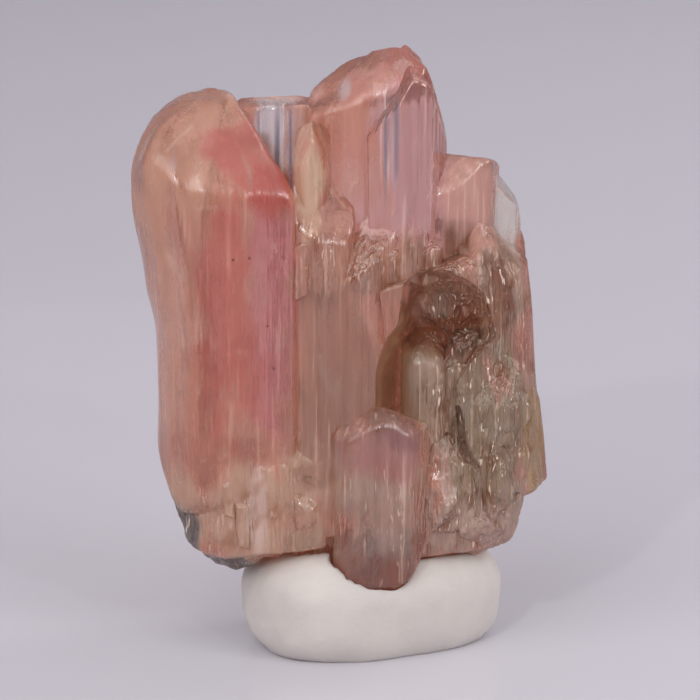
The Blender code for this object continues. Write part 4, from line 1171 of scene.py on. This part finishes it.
def studioWorld():
    # Soft light all round, brighter from above and dark around the camera's own side
    world = bpy.data.worlds.new("studioWorld")
    world.use_nodes = True
    tree = world.node_tree
    backdrop = tree.nodes["Background"]
    backdrop.inputs["Color"].default_value = (*studio["air"], 1)
    axes = node(tree, "SeparateXYZ")
    tree.links.new(node(tree, "TexCoord").outputs["Generated"], axes.inputs[0])
    strengths = (studio["horizonStrength"], studio["airStrength"])
    above = remap(tree, axes.outputs["Z"], *studio["horizonToTop"], *strengths)
    front = remap(tree, axes.outputs["Y"], *studio["frontToSide"], studio["frontShare"], 1)
    tree.links.new(combine(tree, "MULTIPLY", above, front), backdrop.inputs["Strength"])
    bpy.context.scene.world = world


softboxes = {
    "keySoftbox": {"at": (-110, -120, 150), "size": (200, 200), "power": 0.19},
    "rightSoftbox": {"at": (130, -90, 90), "size": (70, 70), "power": 0.088},
    "glintLamp": {"at": (-60, -150, 120), "size": (8, 8), "power": 0.045},
    "glintLampRight": {"at": (90, -140, 100), "size": (8, 8), "power": 0.03},
    "backdropSoftbox": {"at": (110, 70, 150), "size": (90, 90), "power": 0.09, "aim": (0, 240, 20)},
}
lampTarget = (0, 0, 13)


def softbox(name, spec):
    # A rectangular lamp that faces its aim, or else the crystals
    lamp = bpy.data.lights.new(name, "AREA")
    lamp.shape = "RECTANGLE"
    lamp.size, lamp.size_y = [side * mm for side in spec["size"]]
    lamp.energy = spec["power"]
    box = bpy.data.objects.new(name, lamp)
    bpy.context.scene.collection.objects.link(box)
    box.location = [value * mm for value in spec["at"]]
    aim = Vector([value * mm for value in spec.get("aim", lampTarget)])
    box.rotation_euler = (box.location - aim).to_track_quat("Z", "Y").to_euler()


camera = {"target": (0.48, 0.0, 13.15), "elevation": 15.0, "distance": 170.0, "lens": 200.0, "sensor": 36.0}


def photoCamera(shift):
    # The photograph's viewing angle: straight at the broad face, and a little from above
    lens = bpy.data.cameras.new("photoCamera")
    lens.lens, lens.sensor_width = camera["lens"], camera["sensor"]
    lens.clip_start, lens.clip_end = 0.01, 5
    holder = bpy.data.objects.new("photoCamera", lens)
    bpy.context.scene.collection.objects.link(holder)
    tilt = math.radians(camera["elevation"])
    back = Vector((0, -math.cos(tilt), math.sin(tilt)))
    target = Vector([(value + move) * mm for value, move in zip(camera["target"], (shift[0], shift[1], 0))])
    holder.location = target + back * camera["distance"] * mm
    holder.rotation_euler = back.to_track_quat("Z", "Y").to_euler()
    bpy.context.scene.camera = holder


cluster = makeCluster()
print("crystals joined:", len(cluster.data.polygons), "faces")
points, _ = readPoints(cluster.data)
middle = (points.min(axis=0) + points.max(axis=0)) / 2
target = (np.array(crystalBox[0]) + np.array(crystalBox[1])) / 2 / mm
shift = (target - middle) * (1, 1, 0)
print("shift to the frame's place, in mm:", shift.round(3))
finishCluster(cluster)
print("surface broken and coloured:", len(zones), "zones")
lump = puttyPiece()
print("putty pressed:", len(lump.data.polygons), "faces")
for piece in (cluster, lump):
    places, _ = readPoints(piece.data)
    writePoints(piece.data, places + shift)
    piece.data.update()
cluster.data.materials.clear()
cluster.data.materials.append(stoneMaterial(shift))
lump.data.materials.append(puttyMaterial())
lump.data.shade_smooth()
print("materials made")
pieces = ((cluster, "tanzanite_crystal", "pink_tanzanite"), (lump, "putty_base", "white_putty"))
for piece, stands, slot in pieces:
    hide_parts(stands)
    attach(piece, "root")
    piece.data.calc_loop_triangles()
    print(piece.name, len(piece.data.loop_triangles), "triangles")
studioSweep()
for name, spec in softboxes.items():
    softbox(name, spec)
studioWorld()
photoCamera(shift)
bpy.context.scene.view_settings.view_transform = "Standard"
print("studio and camera set")
